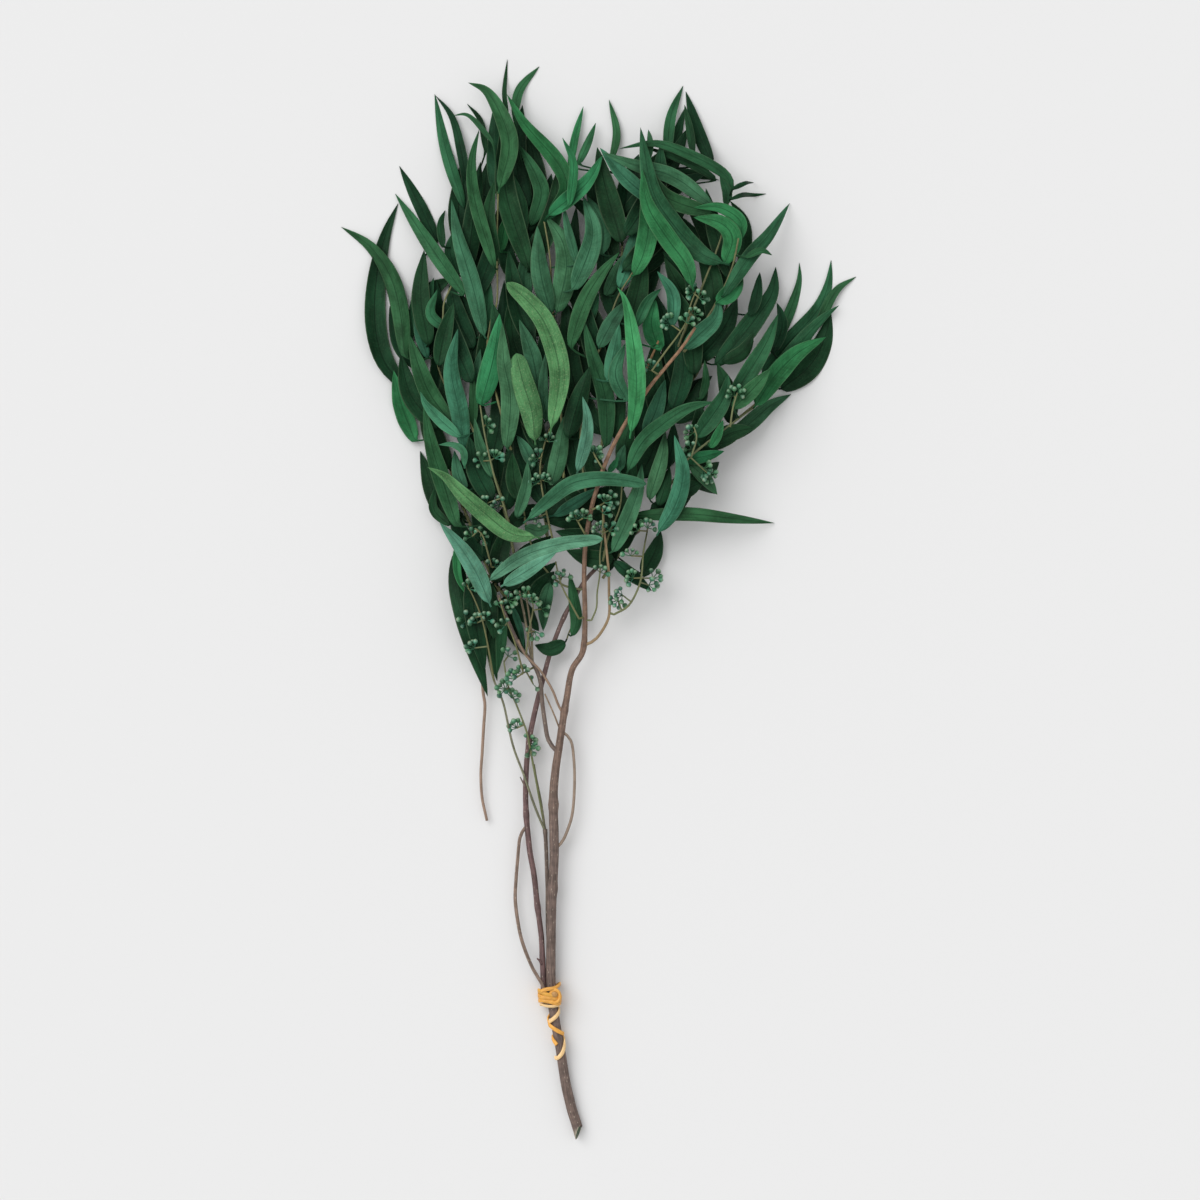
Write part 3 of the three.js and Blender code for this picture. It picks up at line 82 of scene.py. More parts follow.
# %% lower sprigs
LOWER_SPRIGS = {
    "left_under_sprig": ((2.2, -38, 290, -52, 325, -66, 360, -78, 400, -90, 445, -98, 490, -92, 532), [
        ("d", 11, -98, 492, -87, 507, -71, 517),
        ("d", 12, -85, 425, -80, 450, -83, 478),
        ("d", 11, -91, 450, -107, 468, -116, 497),
        ("d", 12, -60, 340, -80, 354, -94, 392),
        ("d", 12, -46, 313, -62, 328, -71, 352),
        ("d", 12, -45, 312, -40, 332, -33, 352),
        ("d", 13, -51, 326, -49, 352, -44, 378, -40, 400),
        ("d", 13, -62, 352, -58, 382, -54, 414),
        ("d", 13, -80, 412, -72, 442, -74, 474),
        ("d", 13, -93, 458, -84, 485, -82, 515),
        ("d", 13, -103, 436, -119, 455, -126, 480, -126, 512, -120, 545, -110, 571),
        ("m", 7, -104, 458, -98, 500, -94, 521),
        ("d", 8, -81, 542, -95, 571, -109, 598),
        ("t", 9, -88, 458, -94, 480, -92, 510),
        ("m", 7, -93, 482, -88, 500, -84, 517),
        ("b", 13, -97, 398, -107, 424, -113, 450),
        ("d", 13, -72, 378, -86, 408, -90, 446),
        ("d", 6, -72, 338, -84, 350, -83, 366),
        ("d", 13, -80, 408, -100, 432, -108, 462),
        ("d", 12, -87, 467, -93, 502, -91, 537),
    ]),
    "left_low_sprig": ((2, -30, 284, -42, 299, -55, 311, -68, 324), [
        ("d", 10, -35, 292, -18, 318, 2, 331),
        ("d", 9, -30, 284, -13, 298, 5, 312),
        ("d", 9, -41, 297, -44, 262, -38, 226),
        ("d", 12, -38, 296, -36, 318, -28, 342),
        ("d", 13, -31, 291, -24, 304, -14, 326),
        ("d", 12, -34, 284, -27, 266, -18, 244),
        ("d", 11, -29, 286, -19, 276, -8, 262),
        ("d", 10, -50, 306, -47, 280, -44, 252),
        ("d", 13, -67, 321, -66, 297, -58, 262, -45, 215),
        ("b", 6, -68, 322, -66, 302, -60, 288),
        ("m", 9, -37, 284, -35, 257, -38, 231),
        ("t", 5, -27, 280, -21, 262, -19, 250),
        ("d", 13, -54, 308, -54, 276, -47, 232),
        ("d", 10, -44, 298, -43, 280, -40, 256),
    ]),
    "top_left_under_sprig": ((2.2, -28, 330, -40, 380, -50, 430, -58, 480, -62, 530, -60, 572), [
        ("d", 10, -61, 505, -52, 525, -53, 552),
        ("d", 11, -52, 445, -35, 480, -33, 515),
        ("d", 10, -55, 455, -58, 482, -65, 508),
        ("d", 10, -35, 358, -38, 385, -35, 405),
        ("d", 10, -29, 336, -20, 346, -5, 353),
        ("d", 11, -42, 388, -50, 408, -52, 436),
        ("d", 12, -60, 542, -50, 566, -45, 602),
        ("d", 13, -32, 348, -26, 380, -28, 410),
        ("d", 13, -42, 386, -36, 415, -38, 450),
        ("d", 14, -50, 432, -45, 464, -43, 500),
        ("d", 13, -55, 465, -66, 486, -72, 514),
        ("d", 13, -61, 530, -66, 565, -62, 605),
        ("m", 9, -61.5, 566, -75.5, 610, -83.5, 650),
        ("d", 6, -60, 572, -61, 590, -65, 613, -71, 634, -83, 649),
        ("m", 9, -66, 518, -72, 535, -68, 552),
        ("d", 5, -77, 538, -79, 555, -76, 566),
        ("m", 8, -72, 478, -86, 490, -81, 508),
        ("m", 14, -39, 577, -39, 612, -40, 643),
        ("m", 9, -48, 474, -45, 505, -50, 529),
        ("g", 9, -54, 421, -53, 445, -50, 465),
        ("m", 7, -56, 407, -55, 425, -56, 450),
        ("d", 13, -56, 440, -68, 468, -76, 500),
        ("d", 12, -60, 520, -55, 560, -50, 600),
        ("d", 12, -54, 500, -40, 540, -34, 575),
        ("d", 4, -46, 606, -50, 630, -60, 643),
    ]),
    "top_middle_under_sprig": ((2.4, -2, 330, -6, 380, -10, 430, -14, 480, -16, 530, -16, 575), [
        ("d", 11, -16, 508, -31, 530, -30, 558),
        ("d", 9, -6, 382, 2, 402, 10, 427),
        ("d", 9, -3, 342, -3, 366, 1, 393),
        ("d", 10, -11, 474, -5, 488, 0, 510),
        ("d", 12, -12, 442, -26, 470, -28, 506),
        ("d", 14, -4, 352, -16, 380, -21, 408, -24, 432),
        ("d", 14, -7, 390, -15, 422, -17, 458),
        ("d", 13, -11, 436, -2, 464, 0, 502),
        ("d", 14, -16, 530, -5, 560, 1, 592),
        ("d", 14, -16, 548, -10, 585, -16, 625),
        ("d", 13, -16, 565, -24, 600, -20, 642),
        ("d", 13, -3, 345, 8, 362, 14, 384),
        ("m", 12, -14, 553, -6, 575, -10, 590, -22, 612),
        ("m", 12, -22, 541, -21, 566, -26, 590),
        ("b", 9, -36, 534, -33, 550, -28, 564),
        ("g", 12, -19, 488, -18, 520, -12, 548),
        ("m", 7, -26, 631, -22, 653, -8, 670),
        ("d", 3, -30, 630, -33, 650, -31, 675),
        ("d", 13, -12, 466, -24, 500, -30, 536),
        ("g", 13, -8, 432, -12, 458, -22, 486),
        ("g", 8, -2, 412, -5, 435, -3, 462),
        ("d", 13, -16, 520, 2, 560, 6, 596),
        ("d", 13, -14, 520, -32, 580, -32, 638),
        ("d", 12, -8, 400, -20, 430, -24, 462),
    ]),
    "top_right_under_sprig": ((2.4, 28, 335, 38, 400, 46, 450, 50, 500, 52, 550, 50, 592), [
        ("d", 11, 44, 424, 28, 448, 24, 481),
        ("d", 11, 47, 457, 22, 476, 8, 503),
        ("d", 12, 47, 529, 43, 543, 49, 564),
        ("d", 12, 52, 556, 34, 572, 30, 594),
        ("d", 11, 52, 545, 26, 566, 13, 575),
        ("d", 9, 51, 586, 84, 606, 98, 641),
        ("d", 8, 52, 572, 92, 592, 122, 588),
        ("d", 11, 29, 344, 36, 358, 54, 366),
        ("d", 12, 42, 428, 34, 458, 32, 492),
        ("d", 13, 50, 482, 42, 512, 36, 546),
        ("d", 13, 52, 560, 57, 584, 64, 606),
        ("d", 12, 29, 338, 14, 342, -4, 341),
        ("d", 13, 28, 338, 22, 352, 8, 366),
        ("d", 14, 32, 352, 19, 385, 15, 420, 18, 450),
        ("d", 14, 38, 402, 20, 432, 13, 466, 11, 504),
        ("d", 14, 47, 462, 26, 492, 17, 530, 19, 568),
        ("d", 13, 50, 498, 66, 508, 80, 530),
        ("d", 13, 51, 520, 74, 530, 92, 550),
        ("d", 13, 52, 548, 84, 578, 114, 594),
        ("d", 13, 52, 560, 82, 590, 100, 626),
        ("d", 12, 30, 345, 42, 348, 56, 358),
        ("m", 6, 44, 600, 48, 622, 42.5, 646),
        ("b", 6, 14, 595, 18, 618, 24, 641),
        ("m", 6, 20, 597, 27, 613, 33, 629),
        ("g", 12, 37, 532, 38, 553, 27, 575),
        ("m", 8, 84, 600, 87, 632, 96, 656),
        ("d", 8, 117, 597, 106, 625, 98, 652),
        ("d", 5, 103, 604, 101, 622, 97, 642),
        ("d", 5, 122, 585, 100, 598, 68, 610),
        ("m", 5, 71, 600, 72, 612, 71, 624),
        ("g", 10, 40, 503, 46, 515, 52, 532),
        ("t", 13, 50, 508, 58, 530, 62, 556),
        ("m", 8, 27, 482, 31, 494, 35, 505),
        ("d", 14, 50, 470, 62, 500, 68, 535),
        ("d", 14, 52, 540, 40, 580, 34, 610),
        ("d", 14, 54, 545, 76, 580, 80, 612),
        ("d", 13, 52, 520, 80, 548, 102, 576),
        ("d", 13, 44, 440, 30, 470, 24, 505),
    ]),
    "right_under_sprig": ((2.4, 44, 330, 62, 368, 84, 410, 104, 445, 122, 480, 133, 516), [
        ("d", 11, 106, 450, 84, 480, 74, 509),
        ("d", 10, 116, 468, 100, 505, 81, 535),
        ("d", 11, 132, 508, 109, 540, 94, 561),
        ("d", 11, 64, 373, 86, 389, 89, 413),
        ("d", 11, 92, 424, 86, 450, 84, 479),
        ("d", 11, 89, 419, 103, 435, 117, 446),
        ("d", 13, 116, 474, 98, 500, 82, 530),
        ("d", 13, 86, 414, 103, 424, 113, 448),
        ("d", 12, 71, 386, 66, 418, 70, 450),
        ("d", 13, 64, 372, 74, 392, 80, 420),
        ("d", 14, 82, 408, 75, 440, 76, 474),
        ("d", 13, 95, 430, 88, 466, 78, 502),
        ("d", 13, 128, 500, 118, 538, 98, 570),
        ("d", 12, 110, 455, 108, 490, 96, 520),
        ("d", 14, 103, 455, 118, 470, 128, 485, 135, 502),
        ("d", 13, 118, 452, 135, 470, 148, 487, 160, 505, 163, 525),
        ("d", 7, 143, 488, 148, 500, 151, 520),
        ("d", 9, 124, 455, 138, 462, 146, 476),
        ("d", 8, 139, 520, 141, 555, 130, 573),
        ("d", 9, 81, 414, 90, 428, 99, 450),
        ("t", 12, 68, 403, 76, 420, 83, 443),
        ("m", 6, 108, 428, 112, 440, 111, 456),
        ("d", 8, 47, 400, 50, 420, 52, 440),
        ("d", 13, 88, 420, 96, 450, 92, 480),
        ("d", 13, 104, 445, 100, 480, 86, 512),
        ("d", 13, 118, 478, 116, 515, 104, 548),
        ("d", 12, 132, 512, 120, 545, 112, 580),
        ("d", 12, 60, 366, 54, 392, 60, 420),
    ]),
    "far_right_sprig": ((2.2, 92, 372, 110, 391, 128, 409, 146, 424, 162, 437, 176, 452), [
        ("d", 12, 97, 377, 106, 400, 108, 428),
        ("d", 13, 102, 383, 114, 404, 122, 430),
        ("d", 11, 130, 411, 128, 432, 120, 454),
        ("g", 12, 126, 399, 142, 410, 158, 424, 174, 433),
        ("d", 15, 166, 436, 186, 452, 197, 470, 203, 492),
        ("m", 12, 152, 446, 172, 470, 193, 493, 201, 512, 203, 530),
        ("m", 7, 192, 480, 206, 507, 221, 518),
        ("m", 10, 160, 447, 178, 468, 197, 488, 208.5, 497),
        ("m", 8, 160, 462, 174, 495, 180, 515, 180, 528),
        ("d", 8, 160, 462, 167, 480, 166, 490, 163, 498),
        ("m", 13, 128, 425, 143, 448, 155, 468, 164, 490),
        ("d", 12, 112, 394, 130, 404, 146, 408),
    ]),
    "lower_right_sprig": ((2.2, 38, 300, 50, 318, 62, 334, 76, 352, 90, 372, 104, 390), [
        ("d", 10, 100, 386, 112, 377, 122, 384),
        ("d", 9, 94, 378, 108, 389, 123, 396),
        ("d", 9, 90, 371, 106, 369, 120, 361),
        ("d", 10, 41, 304, 44, 325, 40, 350),
        ("d", 10, 50, 318, 58, 336, 72, 346),
        ("d", 13, 45, 320, 26, 328, 4, 334),
        ("d", 12, 72, 350, 88, 352, 104, 366),
        ("m", 10, 58, 345, 100, 346, 130, 343, 162, 340),
        ("d", 11, 66, 302, 75, 318, 80, 334),
        ("d", 10, 92, 360, 101, 365, 110, 369),
        ("g", 10, 101, 381, 110, 373, 120, 360),
        ("b", 9, 96, 384, 110, 387, 125, 391),
        ("d", 8, 78, 352, 82, 364, 86, 380),
        ("g", 11, 71, 356, 80, 385, 83, 406),
        ("d", 11, 46, 314, 30, 314, 12, 320),
        ("d", 10, 44, 332, 52, 344, 62, 350),
        ("d", 8, 46, 312, 60, 301, 73, 291),
        ("d", 12, 62, 336, 50, 352, 46, 376),
    ]),
}

# %% upper sprigs
UPPER_SPRIGS = {
    "left_over_sprig": ((2, -26, 318, -31, 345, -39, 370, -50, 395, -62, 420, -76, 440, -81, 460, -77, 485,
        -76, 498, -70, 512), [
        ("d", 10, -80, 452, -76, 474, -69, 498),
        ("m", 11, -60, 502, -80, 530, -98, 557, -112, 578),
        ("m", 13, -104, 456, -108, 492, -115, 518, -130, 540, -151, 554),
        ("m", 14, -70, 411, -86, 432, -95, 455, -101, 475),
        ("t", 14, -61, 392, -65, 420, -71, 450, -66, 479),
        ("m", 13, -66, 335, -78, 372, -85, 395, -91, 426),
        ("g", 9, -60, 362, -66, 375, -69, 392),
        ("d", 13, -41, 355, -53, 378, -58, 402),
        ("g", 8, -41, 372, -50, 395, -54, 415),
        ("t", 9, -64, 401, -78, 413, -89, 425, -93, 434),
    ]),
    "top_left_over_sprig": ((1.8, -28, 392, -38, 430, -45, 460, -42, 487, -38, 500, -38, 540, -37, 577), [
        ("d", 9, -38, 528, -44, 556, -40, 585),
        ("d", 12, -41, 438, -36, 464, -41, 498),
        ("m", 10, -39, 521, -54, 572, -56, 600, -51, 623),
        ("g", 13, -47, 473, -56, 512, -66, 545, -71, 573),
        ("b", 16, -50, 423, -40, 460, -36, 490),
        ("g", 14, -31, 392, -28, 430, -33, 455, -34, 483),
        ("m", 4, -40, 612, -58, 633, -70, 634),
    ]),
    "top_middle_over_sprig": ((1.8, 10, 372, 8, 420, 6, 460, 2, 492, 0, 530, -4, 556), [
        ("g", 17, 5, 490, 12, 522, 9, 542, -3, 560),
        ("g", 14, 1, 489, -7, 520, -9, 553),
        ("b", 12, -2, 560, 13, 580, 3, 603, -18, 626, -31, 648),
        ("g", 7, 20, 524, 13, 550, 10, 567),
        ("g", 15, 17, 506, 31, 545, 24, 575),
        ("g", 13, 1, 366, 7, 391, 11, 418),
        ("b", 12, -1, 560, 26, 583, 38, 604),
        ("b", 7, 14, 566, 17, 597, 9, 617),
    ]),
    "middle_over_sprig": ((1.8, 26, 360, 22, 400, 26, 440, 38, 470, 48, 500, 60, 520), [
        ("m", 13, 41, 393, 40, 430, 31, 458, 24, 486),
        ("d", 12, 13, 400, 20, 425, 29, 452),
        ("m", 12, 14, 464, 24, 496, 36, 517, 50, 534),
        ("g", 12, 35, 465, 45, 484, 56, 500),
        ("t", 11, 42, 440, 46, 462, 50, 482),
        ("t", 11, 56, 426, 47, 446, 54, 468),
        ("b", 15, 60, 516, 68, 535, 71, 560, 66, 592),
        ("b", 14, 79, 463, 73, 482, 76, 500),
        ("m", 8, 62, 480, 70, 498, 80, 508),
    ]),
    "upper_right_over_sprig": ((1.8, 92, 466, 108, 506, 120, 536, 126, 556, 128, 570), [
        ("t", 12, 78, 567, 54, 587, 36, 609),
        ("g", 12, 117, 566, 90, 587, 60, 596, 38, 605),
        ("m", 8, 128, 572, 130, 585, 120, 594, 100, 604, 75, 612, 50, 608),
        ("m", 12, 116, 561, 83, 573, 68, 598),
        ("d", 6, 126, 567, 127, 577, 122, 588),
        ("b", 9, 135, 541, 137, 555, 122, 565, 103, 565),
        ("b", 14, 125, 524, 131, 543, 122, 554, 103, 558),
        ("t", 10, 88, 480, 88, 503, 77, 520),
        ("d", 3, 129, 571, 142, 576, 156, 578),
        ("d", 3, 130, 578, 138, 582, 147, 586),
    ]),
    "branch_end_sprig": ((2, 96, 462, 110, 482, 122, 502, 131, 524, 135, 543), [
        ("t", 13, 96, 464, 108, 475, 119, 486, 121, 500),
        ("b", 13, 119, 497, 131, 506, 137, 521),
        ("m", 11, 124, 501, 143, 530, 157, 546, 173, 571),
        ("m", 5, 140, 529, 151, 534, 159, 531),
    ]),
    "right_over_sprig": ((1.6, 92, 378, 104, 390, 118, 401, 132, 412, 146, 422), [
        ("m", 14, 104, 400, 115, 414, 125, 430, 127.5, 446),
        ("b", 15, 147, 423, 160, 443, 178, 462, 199, 474),
        ("m", 12, 131, 421, 146, 436, 158, 450),
        ("b", 7, 115, 393, 120, 402, 124, 413),
    ]),
    "lower_middle_sprig": ((1.6, 22, 292, 8, 296, -6, 310, -16, 332, -20, 360), [
        ("d", 12, -13, 284, -6, 293, 3, 305),
        ("g", 10, 0, 297, -4, 280, -5, 262),
        ("g", 9, -12, 380, -17, 392, -24, 403),
        ("d", 10, -22, 356, -26, 372, -27, 390),
        ("g", 9, -24, 343, -17, 365, -16, 384),
        ("g", 9, -18, 337, -8, 334, 1, 338),
        ("t", 9, 4, 345, 20, 355, 35, 365),
    ]),
    "lower_leaf_pair": ((1.3, 22, 272, 15, 264, 12, 256), [
        ("m", 9, 15.5, 258, 19, 269, 17, 286, 14, 304),
        ("d", 9, 11, 254, 0, 249, -11, 252),
    ]),
    "centre_right_sprig": ((1.6, 38, 312, 42, 330, 50, 350, 52, 372), [
        ("g", 12, 45, 318, 57, 345, 64, 365, 66, 382),
        ("g", 8, 50, 377, 51, 387, 54, 396),
        ("b", 5, 42, 376, 46, 381, 49, 387),
        ("d", 12, 40, 368, 31, 382, 36, 396),
    ]),
}

# %% single leaves on top: name, tone, width, whether the tip is blunt, then x, y from stalk to tip
FRONT_LEAVES = [
    ("crown_leaf", "m", 13, False, -36, 579, -29, 608, -33, 628, -45, 650, -59, 657),
    ("pale_leaf", "y", 17, True, -10.5, 398, -13, 420, -19, 440, -24, 461),
    ("speckled_leaf", "y", 15.5, True, 1, 407, 7, 440, 5, 460, -4, 484, -18, 501, -31, 512),
    ("bright_leaf", "s", 13, False, 58, 404, 62, 430, 61, 458, 57, 487, 53, 502, 48.5, 508.5),
    ("upper_long_leaf", "m", 16, False, 124, 525, 108, 532, 88, 553, 73, 578, 65, 623),
    ("upper_bright_leaf", "b", 14.5, False, 102, 508, 97, 525, 84, 543, 70, 566, 66, 592),
    ("white_tip_leaf", "m", 12, False, 56, 377, 66, 397, 82, 411, 100, 422, 118, 426),
    ("teal_leaf", "t", 13, False, 78, 333, 90, 353, 95, 376, 89, 402),
    ("bluish_leaf", "p", 9.5, False, 20, 376, 26, 398, 27, 415, 23.5, 430),
    ("cross_leaf", "t", 11.5, True, -16, 342, 0, 356, 15, 367, 33, 371, 52, 370, 69, 367),
    ("lower_cross_leaf", "p", 11, True, -44, 298, -24, 313, -8, 320, 12, 325, 38, 328),
    ("short_cross_leaf", "p", 10.5, False, -33, 295, -18, 304, 5, 318.5),
    ("left_front_leaf", "p", 13.5, False, -43, 282, -52, 303, -64, 322, -79, 340),
    ("long_diagonal_leaf", "y", 13.5, False, -10, 329, -28, 332, -45, 345, -62, 360, -75, 373, -88, 380),
    ("curled_leaf", "t", 5.5, False, -61, 380, -62, 391, -70, 396, -80, 396),
]

# %% twigs with buds: a cluster is its hub's x, y, the way its fan faces in degrees, and its buds
SEED_TWIGS = {
    "left_seed_twig": ((1.6, -26, 318, -31, 345, -39, 370, -46, 400, -50, 424), [
        (-40, 386, 60, 6), (-48, 384, 150, 4), (-36, 352, 140, 5), (-45, 354, 160, 5), (-46, 410, 20, 4),
    ]),
    "lower_left_seed_twig": ((1.5, -42, 308, -48, 330, -54, 336), [
        (-50, 330, 20, 4), (-56, 330, 120, 4), (-40, 308, 60, 5),
    ]),
    "middle_seed_twig": ((1.5, 2, 328, -3, 350, -7, 375, -5, 392, 0, 408), [
        (-1, 398, 80, 5), (-8, 386, 150, 5), (-9, 368, 130, 5), (-4, 370, 60, 5), (-8, 344, 200, 4),
    ]),
    "outer_left_seed_twig": ((1.4, -40, 226, -47, 265, -54, 285, -60, 296), [
        (-52, 268, 120, 6), (-54, 250, 150, 6), (-58, 292, 60, 4), (-46, 270, 60, 5), (-60, 270, 170, 3),
    ]),
    "hanging_seed_twig": ((1.5, -14, 176, -17, 190, -24, 208, -30, 222, -33, 240), [
        (-16, 182, 30, 6), (-14, 178, -30, 4), (-24, 192, 120, 6), (-28, 214, 60, 6), (-32, 220, 150, 6),
        (-30, 244, 60, 4),
    ]),
    "inner_left_seed_twig": ((1.4, -19, 232, -25, 254, -32, 272, -36, 286), [
        (-20, 231, 120, 5), (-25, 228, 150, 5), (-12, 224, 30, 2), (-32, 266, 150, 4), (-34, 278, 60, 5),
        (-30, 284, 20, 5),
    ]),
    "centre_seed_twig": ((1.3, -17, 246, -15, 262, -12, 280, -16, 292), [
        (-11, 262, 250, 5), (-14, 283, 60, 5), (-18, 288, 130, 4), (-6, 278, 20, 3),
    ]),
    "olive_seed_twig": ((1.4, 21, 271, 15, 282, 8, 296, 4, 312), [
        (8, 299, 140, 4), (9, 301, 70, 3),
    ]),
    "stem_seed_umbels": ((1.4, 25, 332, 20, 341, 18, 347), [
        (19, 342, 110, 6), (24, 343, 60, 5),
    ]),
    "branch_seed_umbels": ((1.4, 31, 349, 38, 353, 42, 356), [
        (39, 354, 50, 6), (43, 356, 10, 4),
    ]),
    "upper_seed_umbels": ((1.4, 38, 378, 33, 386, 31, 390), [
        (32, 388, 50, 6), (33, 388, -10, 3),
    ]),
    "right_seed_twig": ((1.6, 46, 274, 57, 281, 65, 298, 67, 318, 70, 334), [
        (70, 336, 70, 5), (63, 334, 120, 3), (58, 316, 100, 4), (60, 300, 150, 6), (74, 300, 20, 5),
        (52, 288, 180, 5), (49, 284, 240, 5), (71, 295, -20, 4),
    ]),
    "inner_right_seed_twig": ((1.3, 30, 270, 33.5, 279, 34, 290, 36, 304, 36, 318, 38, 332), [
        (36, 304, 60, 4), (36, 334, 120, 5), (38, 346, 60, 4), (42, 334, 30, 4),
    ]),
    "top_seed_twig": ((1.4, 73, 448, 83, 462, 92, 474, 98, 484, 101, 496, 105, 506), [
        (73, 449, 110, 5), (71, 450, 160, 3), (86, 482, 150, 6), (103, 504, 160, 6), (103, 488, 40, 5),
        (107, 500, 20, 4), (98, 482, 60, 4),
    ]),
    "far_right_seed_twig": ((1.4, 129, 408, 131, 422, 134, 432), [
        (132, 430, 110, 4), (134, 432, 50, 4),
    ]),
    "outer_right_seed_twig": ((1.4, 101, 386, 105, 400, 103, 408), [
        (103, 404, 140, 5), (102, 392, 160, 4), (110, 378, -20, 6), (114, 374, -60, 5),
    ]),
}
in_sprigs = sum(len(rows) for _, rows in (*LOWER_SPRIGS.values(), *UPPER_SPRIGS.values()))
print(in_sprigs + len(FRONT_LEAVES), "leaves,",
      sum(cluster[3] for _, rows in SEED_TWIGS.values() for cluster in rows), "buds")

# %% [markdown]
# ## Curves
#
# A stem or a leaf is drawn as a smooth line through a few places: each stretch is a cubic whose slope at a
# place is half the step from the place before to the place after. Places are then spaced by length, so that
# a surface built along the line has even cells.

# %% smooth lines through places
def smooth_line(places, shares):
    """Places and directions at shares (0 to 1) of the length of the smooth line through the given places.
    Between two places the line is a cubic with slopes (after - before) / 2; the ends are mirrored."""
    p = np.asarray(places, float)
    p = np.vstack([2 * p[:1] - p[1:2], p, 2 * p[-1:] - p[-2:-1]])
    spans = len(p) - 3

    def at(turn):
        i = np.minimum((turn * spans).astype(int), spans - 1)
        w = (turn * spans - i)[:, None]
        a, b, c, d = p[i], p[i + 1], p[i + 2], p[i + 3]
        s, e = (c - a) / 2, (d - b) / 2
        c2, c3 = 3 * (c - b) - 2 * s - e, 2 * (b - c) + s + e
        return b + w * (s + w * (c2 + w * c3)), s + w * (2 * c2 + 3 * w * c3)

    ticks = np.linspace(0, 1, 201)
    steps = np.linalg.norm(np.diff(at(ticks)[0], axis=0), axis=1)
    run = np.concatenate([[0], np.cumsum(steps)])
    where, way = at(np.interp(np.asarray(shares) * run[-1], run, ticks))
    return where, way / np.linalg.norm(way, axis=1, keepdims=True), run[-1]


def pairs(row):
    """A flat row of x, y numbers from the knot as places in the frame, still in millimetres."""
    return np.array(row, float).reshape(-1, 2) + KNOT[:2]


def chance(seed):
    """A repeatable number from 0 to 1: the fraction of 43758.5453 * sin(127.1 * seed + 11.7)."""
    return math.sin(seed * 127.1 + 11.7) * 43758.5453 % 1


def soften(values, passes):
    """Each value moved to the mean of itself (half) and its neighbours (a quarter each); the ends stay."""
    for _ in range(passes):
        inner = (values[:-2] + 2 * values[1:-1] + values[2:]) / 4
        values = np.concatenate([values[:1], inner, values[-1:]])
    return values


around_a_corner = smooth_line([(0, 0), (1, 0), (1, 1)], [0, 1])[2]
print("the smooth line round a unit corner is", round(around_a_corner, 3), "long")

# %% [markdown]
# ## Surfaces
#
# Every piece here is a profile carried along a path: a ring of places for each station on the path, joined
# ring to ring by four-sided faces, with a face over each end. Rings are worked out as whole arrays. A piece
# gathers many such skins, and each place carries what the materials need: its tint, and where it is on its
# own leaf, bud or stem.

# %% gather skins and make an object
class Piece:
    """Collects skins and makes them one mesh. Rings turn clockwise seen along the path: faces look out."""

    def __init__(self):
        self.places, self.faces, self.wear, self.tints, self.where = [], [], [], [], []
        self.count = 0

    def skin(self, rings, tint, where, material=0, loop=False):
        """rings is stations x corners x 3; tint and where are spread over it by numpy's rules.
        A loop's last ring is joined to its first; any other skin gets a face over each end.
        A ring that would dip into the floor is lifted whole by its depth."""
        rings = rings + np.maximum(0, -rings[..., 2].min(axis=1))[:, None, None] * [0, 0, 1]
        stations, sides = rings.shape[:2]
        k = np.arange(sides)
        turn = (k + 1) % sides
        here = np.arange(stations if loop else stations - 1)[:, None]
        first, after = self.count + here * sides, self.count + (here + 1) % stations * sides
        quads = np.stack([first + k, first + turn, after + turn, after + k], axis=-1)
        made = quads.reshape(-1, 4).tolist()
        if not loop:
            made += [(self.count + k[::-1]).tolist(), (self.count + (stations - 1) * sides + k).tolist()]
        self.faces += made
        self.wear += [material] * len(made)
        self.places.append(rings.reshape(-1, 3))
        self.tints.append(np.broadcast_to(tint, (stations, sides, 4)).reshape(-1, 4))
        self.where.append(np.broadcast_to(where, (stations, sides, 3)).reshape(-1, 3))
        self.count += stations * sides

    def make(self, name, materials):
        """The object: smooth shaded, riding on the bunch, and standing for the solid of its name."""
        mesh = bpy.data.meshes.new(name)
        mesh.from_pydata(np.concatenate(self.places) * MM, [], self.faces)
        mesh.polygons.foreach_set("material_index", self.wear)
        mesh.polygons.foreach_set("use_smooth", [True] * len(self.faces))
        for key, kind, field, rows in (
            ("Tint", "FLOAT_COLOR", "color", self.tints),
            ("Where", "FLOAT_VECTOR", "vector", self.where),
        ):
            held = mesh.attributes.new(key, kind, "POINT")
            held.data.foreach_set(field, np.concatenate(rows).astype(np.float32).ravel())
        for material in materials:
            mesh.materials.append(material)
        mesh.update()
        thing = bpy.data.objects.new(name + "_fine", mesh)
        bpy.context.scene.collection.objects.link(thing)
        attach(thing, "root")
        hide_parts(name)
        return thing


def frames(path):
    """For each station of a path: the level unit vector to its right, and the one square to both."""
    ahead = np.gradient(path, axis=0)
    right = np.stack([ahead[:, 1], -ahead[:, 0], np.zeros(len(path))], axis=1)
    flat = np.linalg.norm(right, axis=1, keepdims=True)
    right = np.where(flat > 1e-6, right / np.maximum(flat, 1e-6), [1.0, 0.0, 0.0])
    up = np.cross(right, ahead / np.linalg.norm(ahead, axis=1, keepdims=True))
    return right, up


def tube(path, radius, sides):
    """Rings of a round stem: centre + radius * (right * cos a - up * sin a), a going once round.
    radius is one number for each station, or one for each corner."""
    right, up = frames(path)
    a = 2 * np.pi * np.arange(sides) / sides
    radius = np.asarray(radius, float).reshape(len(path), -1, 1)
    return path[:, None] + radius * (right[:, None] * np.cos(a)[:, None] - up[:, None] * np.sin(a)[:, None])


# how far apart two stems lie in the pattern, across and along, so that no two look alike
APART = (37, 91)


